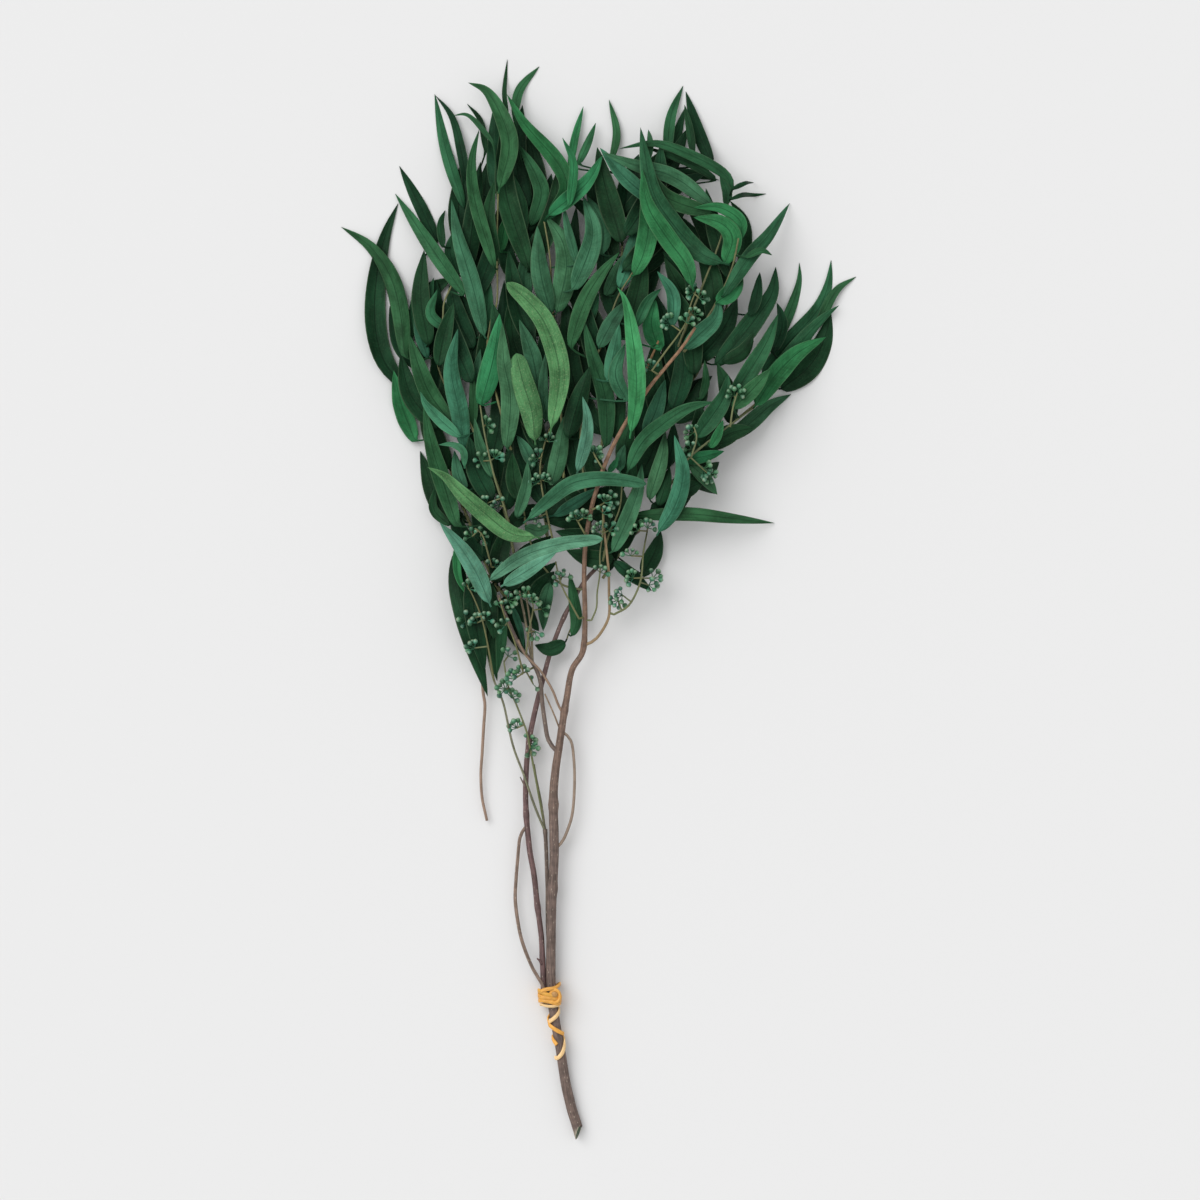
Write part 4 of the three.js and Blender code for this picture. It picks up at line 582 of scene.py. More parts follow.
def straightened(path, sides, thickness, seed):
    """Where each corner of a tube is on its stem once that is made straight, in millimetres."""
    run = np.concatenate([[0], np.cumsum(np.linalg.norm(np.diff(path, axis=0), axis=1))])
    a = 2 * np.pi * np.arange(sides) / sides
    where = np.empty((len(path), sides, 3))
    where[..., 0] = thickness * np.cos(a) + APART[0] * seed
    where[..., 1] = thickness * np.sin(a)
    where[..., 2] = run[:, None] + APART[1] * seed
    return where


trial = tube(np.outer(np.arange(4.0), [0, 1, 0]), np.ones(4), 6)
print("a straight tube has", trial.shape[0], "rings of", trial.shape[1], "corners")

# %% [markdown]
# ## Shader sums as expressions
#
# A material is easier to read as a sum than as a row of boxes and wires. `Value` wraps a socket of one
# number, and adds a Math node for each operator used on it. `Recipe` holds a material and makes any other
# node from its type, its settings and what goes into its sockets.

# %% sockets that can be added and multiplied
class Value:
    """One number of a shader. The operators add Math nodes; the reflected forms let 1 - mask work."""

    def __init__(self, recipe, socket):
        self.recipe, self.socket = recipe, socket

    def math(self, operation, *others, clamp=False):
        settings = {"operation": operation, "use_clamp": clamp}
        return self.recipe.node("ShaderNodeMath", settings, dict(enumerate((self, *others))))

    def __add__(self, other):
        return self.math("ADD", other)

    def __sub__(self, other):
        return self.math("SUBTRACT", other)

    def __mul__(self, other):
        return self.math("MULTIPLY", other)

    def __rsub__(self, other):
        return self.recipe.node("ShaderNodeMath", {"operation": "SUBTRACT"}, {0: other, 1: self})

    __radd__, __rmul__ = __add__, __mul__

    def between(self, low, high):
        """0 below low, 1 above high, and a soft step from one to the other."""
        settings = {"interpolation_type": "SMOOTHSTEP"}
        return self.recipe.node("ShaderNodeMapRange", settings, {0: self, 1: low, 2: high})


class Recipe:
    """A material with its shader, and one method for any node."""

    def __init__(self, name):
        self.material = bpy.data.materials.new(name)
        self.material.use_nodes = True
        self.tree = self.material.node_tree
        self.shader = self.tree.nodes["Principled BSDF"]

    def put(self, socket, value):
        if isinstance(value, Value):
            self.tree.links.new(value.socket, socket)
        elif isinstance(value, tuple) and socket.type == "RGBA":
            socket.default_value = (*value, 1.0)[:4]
        else:
            socket.default_value = value

    def node(self, kind, settings=None, sockets=None, output=0):
        made = self.tree.nodes.new(kind)
        for key, setting in (settings or {}).items():
            setattr(made, key, setting)
        for key, value in (sockets or {}).items():
            self.put(made.inputs[key], value)
        return Value(self, made.outputs[output])

    def read(self, attribute, output):
        return self.node("ShaderNodeAttribute", {"attribute_name": attribute}, output=output)

    def parts(self, attribute):
        """The three numbers of an attribute."""
        split = self.tree.nodes.new("ShaderNodeSeparateXYZ")
        self.put(split.inputs[0], self.read(attribute, "Vector"))
        return [Value(self, out) for out in split.outputs]

    def vector(self, x, y, z):
        return self.node("ShaderNodeCombineXYZ", None, {0: x, 1: y, 2: z})

    def noise(self, where, scale, detail=2.0, rough=0.5):
        sockets = {"Vector": where, "Scale": scale, "Detail": detail, "Roughness": rough}
        return self.node("ShaderNodeTexNoise", None, sockets)

    def mix(self, share, a, b, blend="MIX"):
        """Colour a where share is 0 and colour b where it is 1."""
        settings = {"data_type": "RGBA", "blend_type": blend}
        return self.node("ShaderNodeMix", settings, {0: share, 6: a, 7: b}, output=2)

    def finish(self, colour, roughness, height=None, depth=0.0002, strength=0.6, **fixed):
        self.put(self.shader.inputs["Base Color"], colour)
        self.put(self.shader.inputs["Roughness"], roughness)
        for key, value in fixed.items():
            self.put(self.shader.inputs[key.replace("_", " ")], value)
        if height is not None:
            sockets = {"Strength": strength, "Distance": depth, "Height": height}
            self.put(self.shader.inputs["Normal"], self.node("ShaderNodeBump", None, sockets))
        return self.material

# %% [markdown]
# ## The leaf's finish
#
# A preserved eucalyptus leaf is waxy and nearly matt. Fine fibres run along it, a thin dark midrib divides
# it and lies in a small groove, side veins leave the midrib at a slant, and the margin is a hair lighter.
# The tint is carried by each leaf; the pattern is laid in the leaf's own measures: share across,
# millimetres along, and a number that differs from leaf to leaf.

# %% leaf material
def leaf_finish():
    r = Recipe("waxy_leaf")
    across, along, seed = r.parts("Where")
    tint = r.read("Tint", "Color")
    specks = r.read("Tint", "Alpha")
    side = across.math("ABSOLUTE")
    # noise is stretched along the blade for fibres, broad for patches, and slanting away from the midrib
    # for veins
    fibres = r.noise(r.vector(across * 7, along * 0.045, seed), 1.6, 3.0, 0.6)
    patches = r.noise(r.vector(across * 0.7, along * 0.05, seed + 40), 1.1, 2.0, 0.5)
    veins = r.noise(r.vector(across * 0.8, along * 0.55 - side * 2.2, seed + 7), 1.5, 1.0, 0.4)
    midrib = 1 - side.between(0.02, 0.075)
    margin = side.between(0.86, 0.99)
    grains = r.noise(r.vector(across * 3, along * 0.45, seed + 3), 1.9, 3.0, 0.65).between(0.52, 0.78)
    shade = fibres * 0.55 + patches * 0.75 + veins * 0.2
    base = r.mix(shade.between(0.45, 1.05), (0.42, 0.46, 0.42), (1.42, 1.40, 1.42))
    colour = r.mix(1.0, tint, base, "MULTIPLY")
    dark = r.mix(1.0, tint, (0.35, 0.42, 0.40), "MULTIPLY")
    pale = r.mix(0.6, tint, (0.30, 0.42, 0.24))
    colour = r.mix(midrib * 0.8, colour, dark)
    colour = r.mix(margin * 0.22, colour, pale)
    colour = r.mix(grains * specks, colour, (0.34, 0.42, 0.22))
    height = fibres * 0.35 + veins * 0.25 - midrib * 0.8
    return r.finish(colour, 0.48 + patches * 0.22, height, 0.00025, 0.7, Specular_IOR_Level=0.09)


LEAF = leaf_finish()
print("leaf finish has", len(LEAF.node_tree.nodes), "nodes")

# %% [markdown]
# ## Bark and twig skin
#
# Old eucalyptus bark splits along the stem and shows small pale pores; young twigs are smooth and only a
# little streaked. One recipe serves both: streaks stretched along the stem, set deep on bark and faint on
# twigs. The pattern is laid on the stem as if it were pulled straight, so it has no seam.

# %% bark materials
def bark_finish(name, streak, pores, depth):
    r = Recipe(name)
    x, y, run = r.parts("Where")
    tint = r.read("Tint", "Color")
    lengthwise = r.noise(r.vector(x * 0.55, y * 0.55, run * 0.045), 2.2, 4.0, 0.62)
    rings = r.noise(r.vector(x * 0.1, y * 0.1, run * 0.30), 1.0, 2.0, 0.5)
    cells = r.vector(x * 0.5, y * 0.5, run * 0.22)
    pore = 1 - r.node("ShaderNodeTexVoronoi", None, {"Vector": cells, "Scale": 1.0}).between(0.10, 0.22)
    shade = (lengthwise * 0.8 + rings * 0.3).between(0.35, 0.78)
    base = r.mix(shade, (1 - streak,) * 3, (1 + streak,) * 3)
    colour = r.mix(1.0, tint, base, "MULTIPLY")
    colour = r.mix(pore * pores, colour, (0.55, 0.47, 0.38))
    height = lengthwise * 0.8 + pore * 0.35 + rings * 0.2
    return r.finish(colour, 0.62 + lengthwise * 0.2, height, depth, 0.8)


BARK = bark_finish("fissured_bark", 0.55, 0.55, 0.0006)
TWIG = bark_finish("smooth_twig_skin", 0.28, 0.15, 0.0002)
print("bark has", len(BARK.node_tree.nodes), "nodes, twig skin", len(TWIG.node_tree.nodes))

# %% [markdown]
# ## The bud's finish
#
# A bud is waxy like the leaf, blue-green with a bloom, and paler where its cap closes. The tint again comes
# with the bud, and the cap is found from how far along the bud a place is.

# %% bud material
def bud_finish():
    r = Recipe("waxy_bud")
    up, turn, seed = r.parts("Where")
    tint = r.read("Tint", "Color")
    bloom = r.noise(r.vector(up * 2, turn, seed), 2.4, 3.0, 0.6)
    cap = up.between(0.80, 0.92)
    tip = up.between(0.95, 1.0)
    base = r.mix(bloom.between(0.3, 0.7), (0.62, 0.66, 0.62), (1.3, 1.3, 1.3))
    colour = r.mix(1.0, tint, base, "MULTIPLY")
    colour = r.mix(cap * 0.45, colour, (0.34, 0.52, 0.36))
    colour = r.mix(tip * 0.6, colour, (0.30, 0.24, 0.12))
    return r.finish(colour, 0.32 + bloom * 0.25, bloom, 0.0002, 0.5)


BUD = bud_finish()
print("the bud finish has", len(BUD.node_tree.nodes), "nodes")

# %% [markdown]
# ## Tints
#
# Dyed leaves keep some of their own colour, so no two are quite the same green. A tint is written as the
# numbers of a screen colour, from 0 to 255, and turned into shares of light, which is what a shader adds
# and multiplies. Each leaf and bud then strays a little from its tone.

# %% tints: what each tone letter stands for, as red, green and blue light
def light(red, green, blue):
    """Screen numbers (0 to 255) as shares of light."""
    c = np.array([red, green, blue]) / 255
    return np.where(c <= 0.04045, c / 12.92, ((c + 0.055) / 1.055) ** 2.4)


TONES = {
    "d": light(28, 65, 40),
    "m": light(46, 94, 61),
    "b": light(47, 116, 72),
    "s": light(62, 143, 92),
    "t": light(60, 117, 88),
    "g": light(60, 107, 76),
    "y": light(78, 124, 76),
    "p": light(86, 138, 112),
}
OLIVE = light(104, 108, 70)
SPECKS = {"y": 0.5, "p": 0.15}


def varied(tint, seed, amount=0.16):
    """A tint made lighter or darker by up to amount, and warmer or cooler by up to half of it."""
    level = 1 + amount * (2 * chance(seed) - 1)
    warm = 1 + 0.5 * amount * (2 * chance(seed + 5) - 1)
    return np.array([tint[0] * level * warm, tint[1] * level, tint[2] * level / warm])


print(len(TONES), "tones; deep green as light:", TONES["d"].round(3))

# %% [markdown]
# ## Reading heights from the solids
#
# A sprig's solid is made of flat-faced blades along the same plan lines. So each blade's heights are found
# by looking for the solid's corners straight above the places where its stations must be: the ridge over
# the middle line and the two edges beside it.

# %% find a blade's heights in its solid
BLADE_THICKNESS = 1.1
BLADE_STEP = 30
FEWEST, MOST = 3, 5
WIDEST_AT = 0.38
RISE = 0.75
FALL = RISE * (1 / WIDEST_AT - 1)
LEAST_HALF = 0.8
BLUNT_AT = 0.78
NEAR = 0.06


def half_width(width, t):
    """Half a leaf's width at share t of its length, never less than 0.8 * (1 - t):
    width / 2 * (t / widest)^rise * ((1 - t) / (1 - widest))^fall. The product is greatest at t = widest."""
    shape = (t / WIDEST_AT) ** RISE * ((1 - t) / (1 - WIDEST_AT)) ** FALL
    return np.maximum(LEAST_HALF * (1 - t), width / 2 * shape)


def height_above(solid, places):
    """For each plan place, the height of the solid's corner straight above it, or NaN if there is none."""
    apart = np.linalg.norm(places[:, None] - solid[None, :, :2], axis=2)
    return np.where(apart.min(axis=1) < NEAR, solid[apart.argmin(axis=1), 2], np.nan)


def blade_heights(solid, width, points, blunt=False):
    """(shares, middle heights, rolls) of the stations whose corners are found in the solid.
    A blunt leaf has the outline of the first 0.78 of a whole one."""
    length = smooth_line(points, [0, 1])[2]
    count = int(np.clip(math.floor(length / BLADE_STEP + 0.5), FEWEST, MOST))
    t = np.arange(count + 1) / count
    middle, way, _ = smooth_line(points, t)
    right = np.stack([way[:, 1], -way[:, 0]], axis=1)
    half = half_width(width, t * BLUNT_AT if blunt else t)[:, None]
    ridge, left_edge, right_edge = (height_above(solid, middle + right * half * k) for k in (0, -1, 1))
    z = ridge - BLADE_THICKNESS
    if not blunt:
        z[-1] += BLADE_THICKNESS / 2
    roll = np.arctan2(right_edge - left_edge, 2 * half[:, 0])
    known = ~np.isnan(z)
    roll = np.where(np.isnan(roll), 0.0, roll)
    return t[known], z[known], roll[known]


def twig_path(solid, row, spacing, taper, step=3.0):
    """A twig's middle line as x, y, z places a step apart, and its radius at each.
    The solid's three-sided twig has one corner level with its middle line, to the left of each station."""
    radius, points = row[0] / 2, pairs(row[1:])
    length = smooth_line(points, [0, 1])[2]
    count = max(2, math.floor(length / spacing + 0.5))
    t = np.arange(count + 1) / count
    middle, way, _ = smooth_line(points, t)
    left = middle - np.stack([way[:, 1], -way[:, 0]], axis=1) * (radius * (1 + (taper - 1) * t))[:, None]
    z = height_above(solid, left)
    known = ~np.isnan(z)
    shares = np.linspace(0, 1, max(4, round(length / step)))
    heights = soften(np.interp(shares, t[known], z[known]), 2)
    return np.column_stack([smooth_line(points, shares)[0], heights]), radius * (1 + (taper - 1) * shares)


def nearest_on(path, place):
    """The place on the path that is nearest in plan."""
    return path[np.linalg.norm(path[:, :2] - place, axis=1).argmin()]

# %% [markdown]
# ## Woody stems
#
# Each stem follows its own smooth line. Its plan comes from the table and its height from the solid: a ray
# sent down and one sent up through the middle line meet the bark above and below, and the middle lies
# halfway. The bark's roundness is broken by slow bulges, and by a swelling wherever a fork leaves.

# %% stems: tint, radii along the stem, then x, y places; forks follow
STEMS = {
    "main_stem": ("grey_brown_bark", BARK, [
        (light(108, 90, 81), (3.75, 3.45, 3.4, 3.3, 3.4, 2.8, 2.2, 1.8, 1.6, 1.5, 1.3, 1), (
            20.5, -99, 15, -81, 10.7, -61, 8, -44, 5, -26, 1, 0, 0.7, 29, 1, 56, 3, 104, 2.6, 147, 7.7, 187,
            12.3, 215, 15.8, 234, 23.8, 248, 25.2, 272, 24.7, 307, 26.8, 334, 33.7, 364, 46, 396, 68, 432,
            94, 464, 104, 479))]),
    "second_stem": ("plum_bark", BARK, [(light(104, 80, 78), (2, 2, 2, 1.9, 1.5, 1.2), (
        -4.6, -4, -4.9, 9, -5.4, 24, -6.4, 42, -9, 63, -11.6, 86, -14.7, 104, -17.5, 135, -17, 164,
        -15, 184, -12, 199, -7, 220, -1.4, 241, 4.3, 258, 10, 272, 17, 285, 25, 298, 33, 307, 44, 318,
        55, 327, 65, 335))]),
    "thin_left_stem": ("grey_brown_bark", BARK, [(light(128, 110, 98), (1.25, 1.25, 1.2), (
        -3.7, -4, -5.1, 6, -9.6, 14, -14, 22, -21, 41, -25, 66, -24.5, 84, -22.8, 104, -21.6, 120))]),
    "dark_stem": ("olive_bark", BARK, [
        (light(104, 92, 84), (1.5, 1.5, 1.4), (
            -2, -6, -1.9, 12, -1.2, 35, -1.7, 52, -2, 77, -2.8, 104, -3.7, 119)),
        (light(112, 112, 88), (0.9, 0.8, 0.7), (
            -3.7, 118, -8, 128, -13, 141, -18.7, 158, -25.6, 176, -29.3, 190, -33.6, 210, -40.5, 227,
            -45, 246, -47.4, 265)),
        (light(112, 112, 88), (0.9, 0.7), (-3.6, 117, -5, 128, -7, 141, -10, 156, -11.6, 166))]),
    "loop_twig": ("grey_brown_bark", TWIG, [(light(140, 122, 106), (1.1, 1), (
        8.6, 106, 11, 114, 15.8, 129, 17.5, 147, 17.5, 164, 15.8, 181, 12.6, 190))]),
    "loose_twig": ("orange_bark", TWIG, [(light(146, 124, 108), (1.1, 1.1, 1), (
        -53, 263, -50, 248, -48.5, 220, -47, 208, -48, 192, -49, 175, -50, 158, -49, 141, -45.6, 125))]),
    "left_branch": ("grey_brown_bark", BARK, [
        (light(112, 98, 90), (1.6, 1.5, 1.4, 1.1), (
            0, 177, -2.4, 188, -5.6, 211, -7.2, 227, -13, 240, -22, 252, -31, 272, -37, 288)),
        (light(112, 104, 84), (1, 0.8), (-12.4, 239, -15, 252, -17.5, 269, -22, 291)),
        (light(112, 104, 84), (0.9, 0.7), (-12.6, 239, -13.4, 262, -17, 287))]),
    "cross_twig": ("grey_brown_bark", TWIG, [(light(140, 118, 100), (0.9, 0.8), (
        6.8, 204, 3, 217, -3, 228, -8, 235, -17.5, 245, -23, 256))]),
    "right_branch": ("orange_bark", TWIG, [(light(140, 120, 90), (1.1, 0.9, 0.8), (
        28.6, 252, 34, 257, 42.2, 272, 42.4, 290, 42, 307, 39, 334, 38, 351))]),
}
# the colour a stem has at its top, and from what share of its length it turns to it
TOP_TINTS = {"main_stem": (light(148, 112, 84), 0.35), "second_stem": (light(92, 76, 68), 0.55)}
# small broken-off twigs: places, radii, tint, heights of both ends
SPURS = {
    "second_stem": [
        ((-6.2, 22, -7.6, 24.5, -9.4, 26.2), (1.1, 0.5), light(104, 80, 78), (9.5, 10.5)),
        ((-17.6, 150, -19.5, 153, -21.5, 157), (0.8, 0.35), light(118, 100, 90), (10.5, 12.0)),
    ],
    "main_stem": [
        ((7.5, 190, 2.5, 203, -3.7, 217), (0.65, 0.5), light(150, 128, 104), (12.0, 17.5)),
        ((58, 424, 70, 452, 78, 470), (1.3, 0.7), light(140, 108, 72), (27.0, 31.0)),
    ],
}
SPUR_STATIONS = 9
print(len(STEMS), "stems with", sum(len(limbs) for _, _, limbs in STEMS.values()), "limbs")

# %% heights from rays
RAY_TOP, RAY_FOOT = 200, -50


def ray_tree(name):
    """A solid's faces in a search tree, in millimetres. Every face of a solid is a triangle."""
    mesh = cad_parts[name].data
    places = np.empty(len(mesh.vertices) * 3)
    mesh.vertices.foreach_get("co", places)
    faces = np.empty(len(mesh.loops), np.int32)
    mesh.loops.foreach_get("vertex_index", faces)
    return BVHTree.FromPolygons((places.reshape(-1, 3) / MM).tolist(), faces.reshape(-1, 3).tolist())


def limb_path(tree, places, step):
    """The middle line of a stem, and its shares: plan places from the row, and at each a height of
    (highest meeting of a ray down + lowest meeting of a ray up) / 2, softened along the stem."""
    length = smooth_line(pairs(places), [0, 1])[2]
    shares = np.linspace(0, 1, max(6, round(length / step)))
    plan = smooth_line(pairs(places), shares)[0]
    met = []
    for x, y in plan:
        top = tree.ray_cast((x, y, RAY_TOP), (0, 0, -1))[0]
        low = tree.ray_cast((x, y, RAY_FOOT), (0, 0, 1))[0]
        met.append(np.nan if top is None or low is None else (top[2] + low[2]) / 2)
    met = np.array(met)
    known = ~np.isnan(met)
    return np.column_stack([plan, soften(np.interp(shares, shares[known], met[known]), 6)]), shares

# %% bulges, joins and the slanted cut
BULGE = 0.022


def bulges(path, sides, seed):
    """Slow swelling of a stem: 1 + 0.022 * three sines along it, each turned a little further round."""
    run = np.concatenate([[0], np.cumsum(np.linalg.norm(np.diff(path, axis=0), axis=1))])[:, None]
    a = 2 * np.pi * np.arange(sides) / sides
    wave = np.sin(run / 7.3 + a + seed)
    wave = wave + 0.7 * np.sin(run / 17 - 2 * a + 2 * seed) + 0.6 * np.sin(run / 3.1 + 3 * a)
    return 1 + BULGE * wave


def joined_to(path, host, first, reach=16.0):
    """A stem whose end is moved onto another's middle line, and the stretch before it a share of that way:
    w in height and w^4 in plan, where w = v^2 * (3 - 2 v) and v = 1 - run / reach, never below 0."""
    path = path if first else path[::-1]
    run = np.concatenate([[0], np.cumsum(np.linalg.norm(np.diff(path[:, :2], axis=0), axis=1))])
    w = (1 - run / reach).clip(0, 1)[:, None]
    w = w * w * (3 - 2 * w)
    foot = nearest_on(host, path[0, :2])
    moved = path + w * [0, 0, 1] * (foot - path) + w**4 * [1, 1, 0] * (foot - path)
    return moved if first else moved[::-1]


def cut_rings(rings, slant, hollow=(0.05, 0.45, 0.86, 0.9)):
    """Shears a stem's first ring so that the cut slants, and adds rings that close it inwards.
    Each corner is moved along the stem by slant * its offset from the middle."""
    ahead = rings[1].mean(axis=0) - rings[0].mean(axis=0)
    ahead /= np.linalg.norm(ahead)
    offset = rings[0] - rings[0].mean(axis=0)
    sheared = rings[0] + ahead * (offset @ np.array(slant))[:, None]
    centre = sheared.mean(axis=0)
    inner = centre + (sheared - centre) * np.array(hollow)[:, None, None]
    return np.concatenate([inner, sheared[None], rings[1:]])


# where a stem's end meets another's middle line: the other stem, and which ends
JOINS = {
    "thin_left_stem": ("second_stem", (False,)),
    "loop_twig": ("main_stem", (True, False)),
    "left_branch": ("main_stem", (True,)),
    "cross_twig": ("main_stem", (True,)),
    "right_branch": ("main_stem", (True,)),
}
# plan places where a stem is swollen by a branch or an old one
KNUCKLES = {
    "main_stem": [8.6, 106, 12.6, 190, 0.5, 177, 26, 252, 68, 432, 3, 76, 3, 137, 10, 205],
    "second_stem": [-18.7, 129, -9, 63, -8.2, 25, -15, 184, 10, 272],
    "dark_stem": [-3.7, 118],
}
KNUCKLE_RISE, KNUCKLE_REACH = 0.22, 3.5
FORK_REACH = 8.0
STEM_STEP = 2.5
CUT_SLANT = (1.35, 0.0, 0.45)
CUT_FACE = light(62, 84, 58)
CUT_RIM = light(186, 176, 156)
CUT_RINGS = 4
print("each fork is eased onto its stem over", FORK_REACH, "mm")

# %% grow the stems
LINES = {}
for n, (name, (slot, material, limbs)) in enumerate(STEMS.items()):
    tree = ray_tree(name)
    piece = Piece()
    swollen = pairs(KNUCKLES.get(name, []))
    for k, (tint, radii, places) in enumerate(limbs):
        path, shares = limb_path(tree, places, STEM_STEP)
        radius = np.interp(shares, np.linspace(0, 1, len(radii)), radii)
        if k:
            path = joined_to(path, LINES[name], True, FORK_REACH)
        elif name in JOINS:
            host, ends = JOINS[name]
            for first in ends:
                path = joined_to(path, LINES[host], first)
        LINES.setdefault(name, path)
        sides = 20 if radii[0] > 3 else 12
        for place in swollen:
            apart = np.linalg.norm(path[:, :2] - place, axis=1)
            radius = radius * (1 + KNUCKLE_RISE * np.exp(-((apart / KNUCKLE_REACH) ** 2)))
        rings = tube(path, radius[:, None] * bulges(path, sides, n + k), sides)
        where = straightened(path, sides, radii[0], n + k)
        tints = np.ones((len(rings), 1, 4))
        tints[..., :3] = varied(tint, n + k, 0.08)
        if name in TOP_TINTS and not k:
            w = shares.clip(TOP_TINTS[name][1], 1) - TOP_TINTS[name][1]
            w = (w / w.max())[:, None, None]
            tints[..., :3] = tints[..., :3] * (1 - w) + TOP_TINTS[name][0] * w
        if name == "main_stem":
            rings = cut_rings(rings, CUT_SLANT)
            where = np.concatenate([where[:1].repeat(CUT_RINGS, axis=0), where])
            tints = np.concatenate([tints[:1].repeat(CUT_RINGS, axis=0), tints])
            tints[:CUT_RINGS - 1, :, :3], tints[CUT_RINGS - 1:CUT_RINGS + 1, :, :3] = CUT_FACE, CUT_RIM
        piece.skin(rings, tints, where, 0)
    for places, thick, tint, z in SPURS.get(name, ()):
        plan = smooth_line(pairs(places), np.linspace(0, 1, SPUR_STATIONS))[0]
        spur = np.column_stack([plan, np.linspace(*z, SPUR_STATIONS)])
        rings = tube(spur, np.linspace(*thick, SPUR_STATIONS), 8)
        piece.skin(rings, np.array([*tint, 1.0]), straightened(spur, 8, thick[0], n + 5), 0)
    piece.make(name, [material])
print("stems grown, the main one", round(smooth_line(LINES["main_stem"], [0, 1])[2]), "mm long")

# %% [markdown]
# ## Painted shade deep in the bunch
#
# Leaves deep in a bunch get less light than the outer ones, and that shade is painted into their tint.
# How deep a place lies is measured on the solids, which are ready before any leaf is grown. From each place
# a few lines go up, and the share of them that soon meet something darkens the leaf's tint there as painted
# shade.

# %% how much lies over a place
def shade_caster_tree():
    """Every solid of the bunch in one search tree, in millimetres."""
    places, faces, count = [], [], 0
    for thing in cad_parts.values():
        mesh = thing.data
        held = np.empty(len(mesh.vertices) * 3)
        mesh.vertices.foreach_get("co", held)
        turns = np.empty(len(mesh.loops), np.int32)
        mesh.loops.foreach_get("vertex_index", turns)
        places.append(held.reshape(-1, 3) / MM)
        faces.append(turns.reshape(-1, 3) + count)
        count += len(mesh.vertices)
    return BVHTree.FromPolygons(np.concatenate(places).tolist(), np.concatenate(faces).tolist())


# the solids whose cover is painted as shade on the leaves below them
SHADE_CASTERS = shade_caster_tree()
LEAN = math.radians(38)
AROUND = 2 * np.pi * np.arange(6) / 6
LEVEL, UPRIGHT = math.sin(LEAN), math.cos(LEAN)
LEANING = np.column_stack([LEVEL * np.cos(AROUND), LEVEL * np.sin(AROUND), [UPRIGHT] * len(AROUND)])
LOOKS = [(0.0, 0.0, 1.0), *LEANING.tolist()]
CLEAR_OF_OWN_BLADE = 2.4
REACH_OF_SHADE = 32.0


def painted_shade_share(path):
    """For each place, the share of seven lines, one straight up and six leaning, that soon meet a solid:
    how much painted shade a leaf gets there.
    """
    starts = (path + [0, 0, CLEAR_OF_OWN_BLADE]).tolist()
    met = [[SHADE_CASTERS.ray_cast(start, way, REACH_OF_SHADE)[0] is not None for way in LOOKS] for start in starts]
    return soften(np.mean(met, axis=1), 2)


print("over the foot of the main stem", painted_shade_share(LINES["main_stem"])[0], "of the lines meet something")

# %% [markdown]
# ## Leaves
#
# A willow eucalyptus leaf is a long blade on a short stalk. Its blade is a little folded along the midrib,
# slightly twisted, and waved at the margins, and that is what makes one half of it catch the light while
# the other lies in shade. A flat card would show none of it, so each leaf is a thin closed skin of its own:
# a ring of sixteen places for each station, nine on the upper face and seven on the lower.

# %% a leaf
ACROSS = np.array([-1, -0.93, -0.55, -0.1, 0, 0.1, 0.55, 0.93, 1, 0.93, 0.55, 0.1, 0, -0.1, -0.55, -0.93])
FACE = np.array([0.0] + [1] * 7 + [0] + [-1] * 7)
LEAF_HALF_THICKNESS = 0.2
MIDRIB_RISE = 0.12
# a blade is fuller than its flat solid, and a deep green one is broader too
FULLNESS = 0.72
BROADER = {"d": 1.2}
# painted shade: how much a leaf's tint is darkened where every line up meets a solid
PAINTED_SHADE_STRENGTH = 0.62
STALK_END = 0.10
PLAIN_SPECKS = 0.05
STALK_RADIUS = 0.62


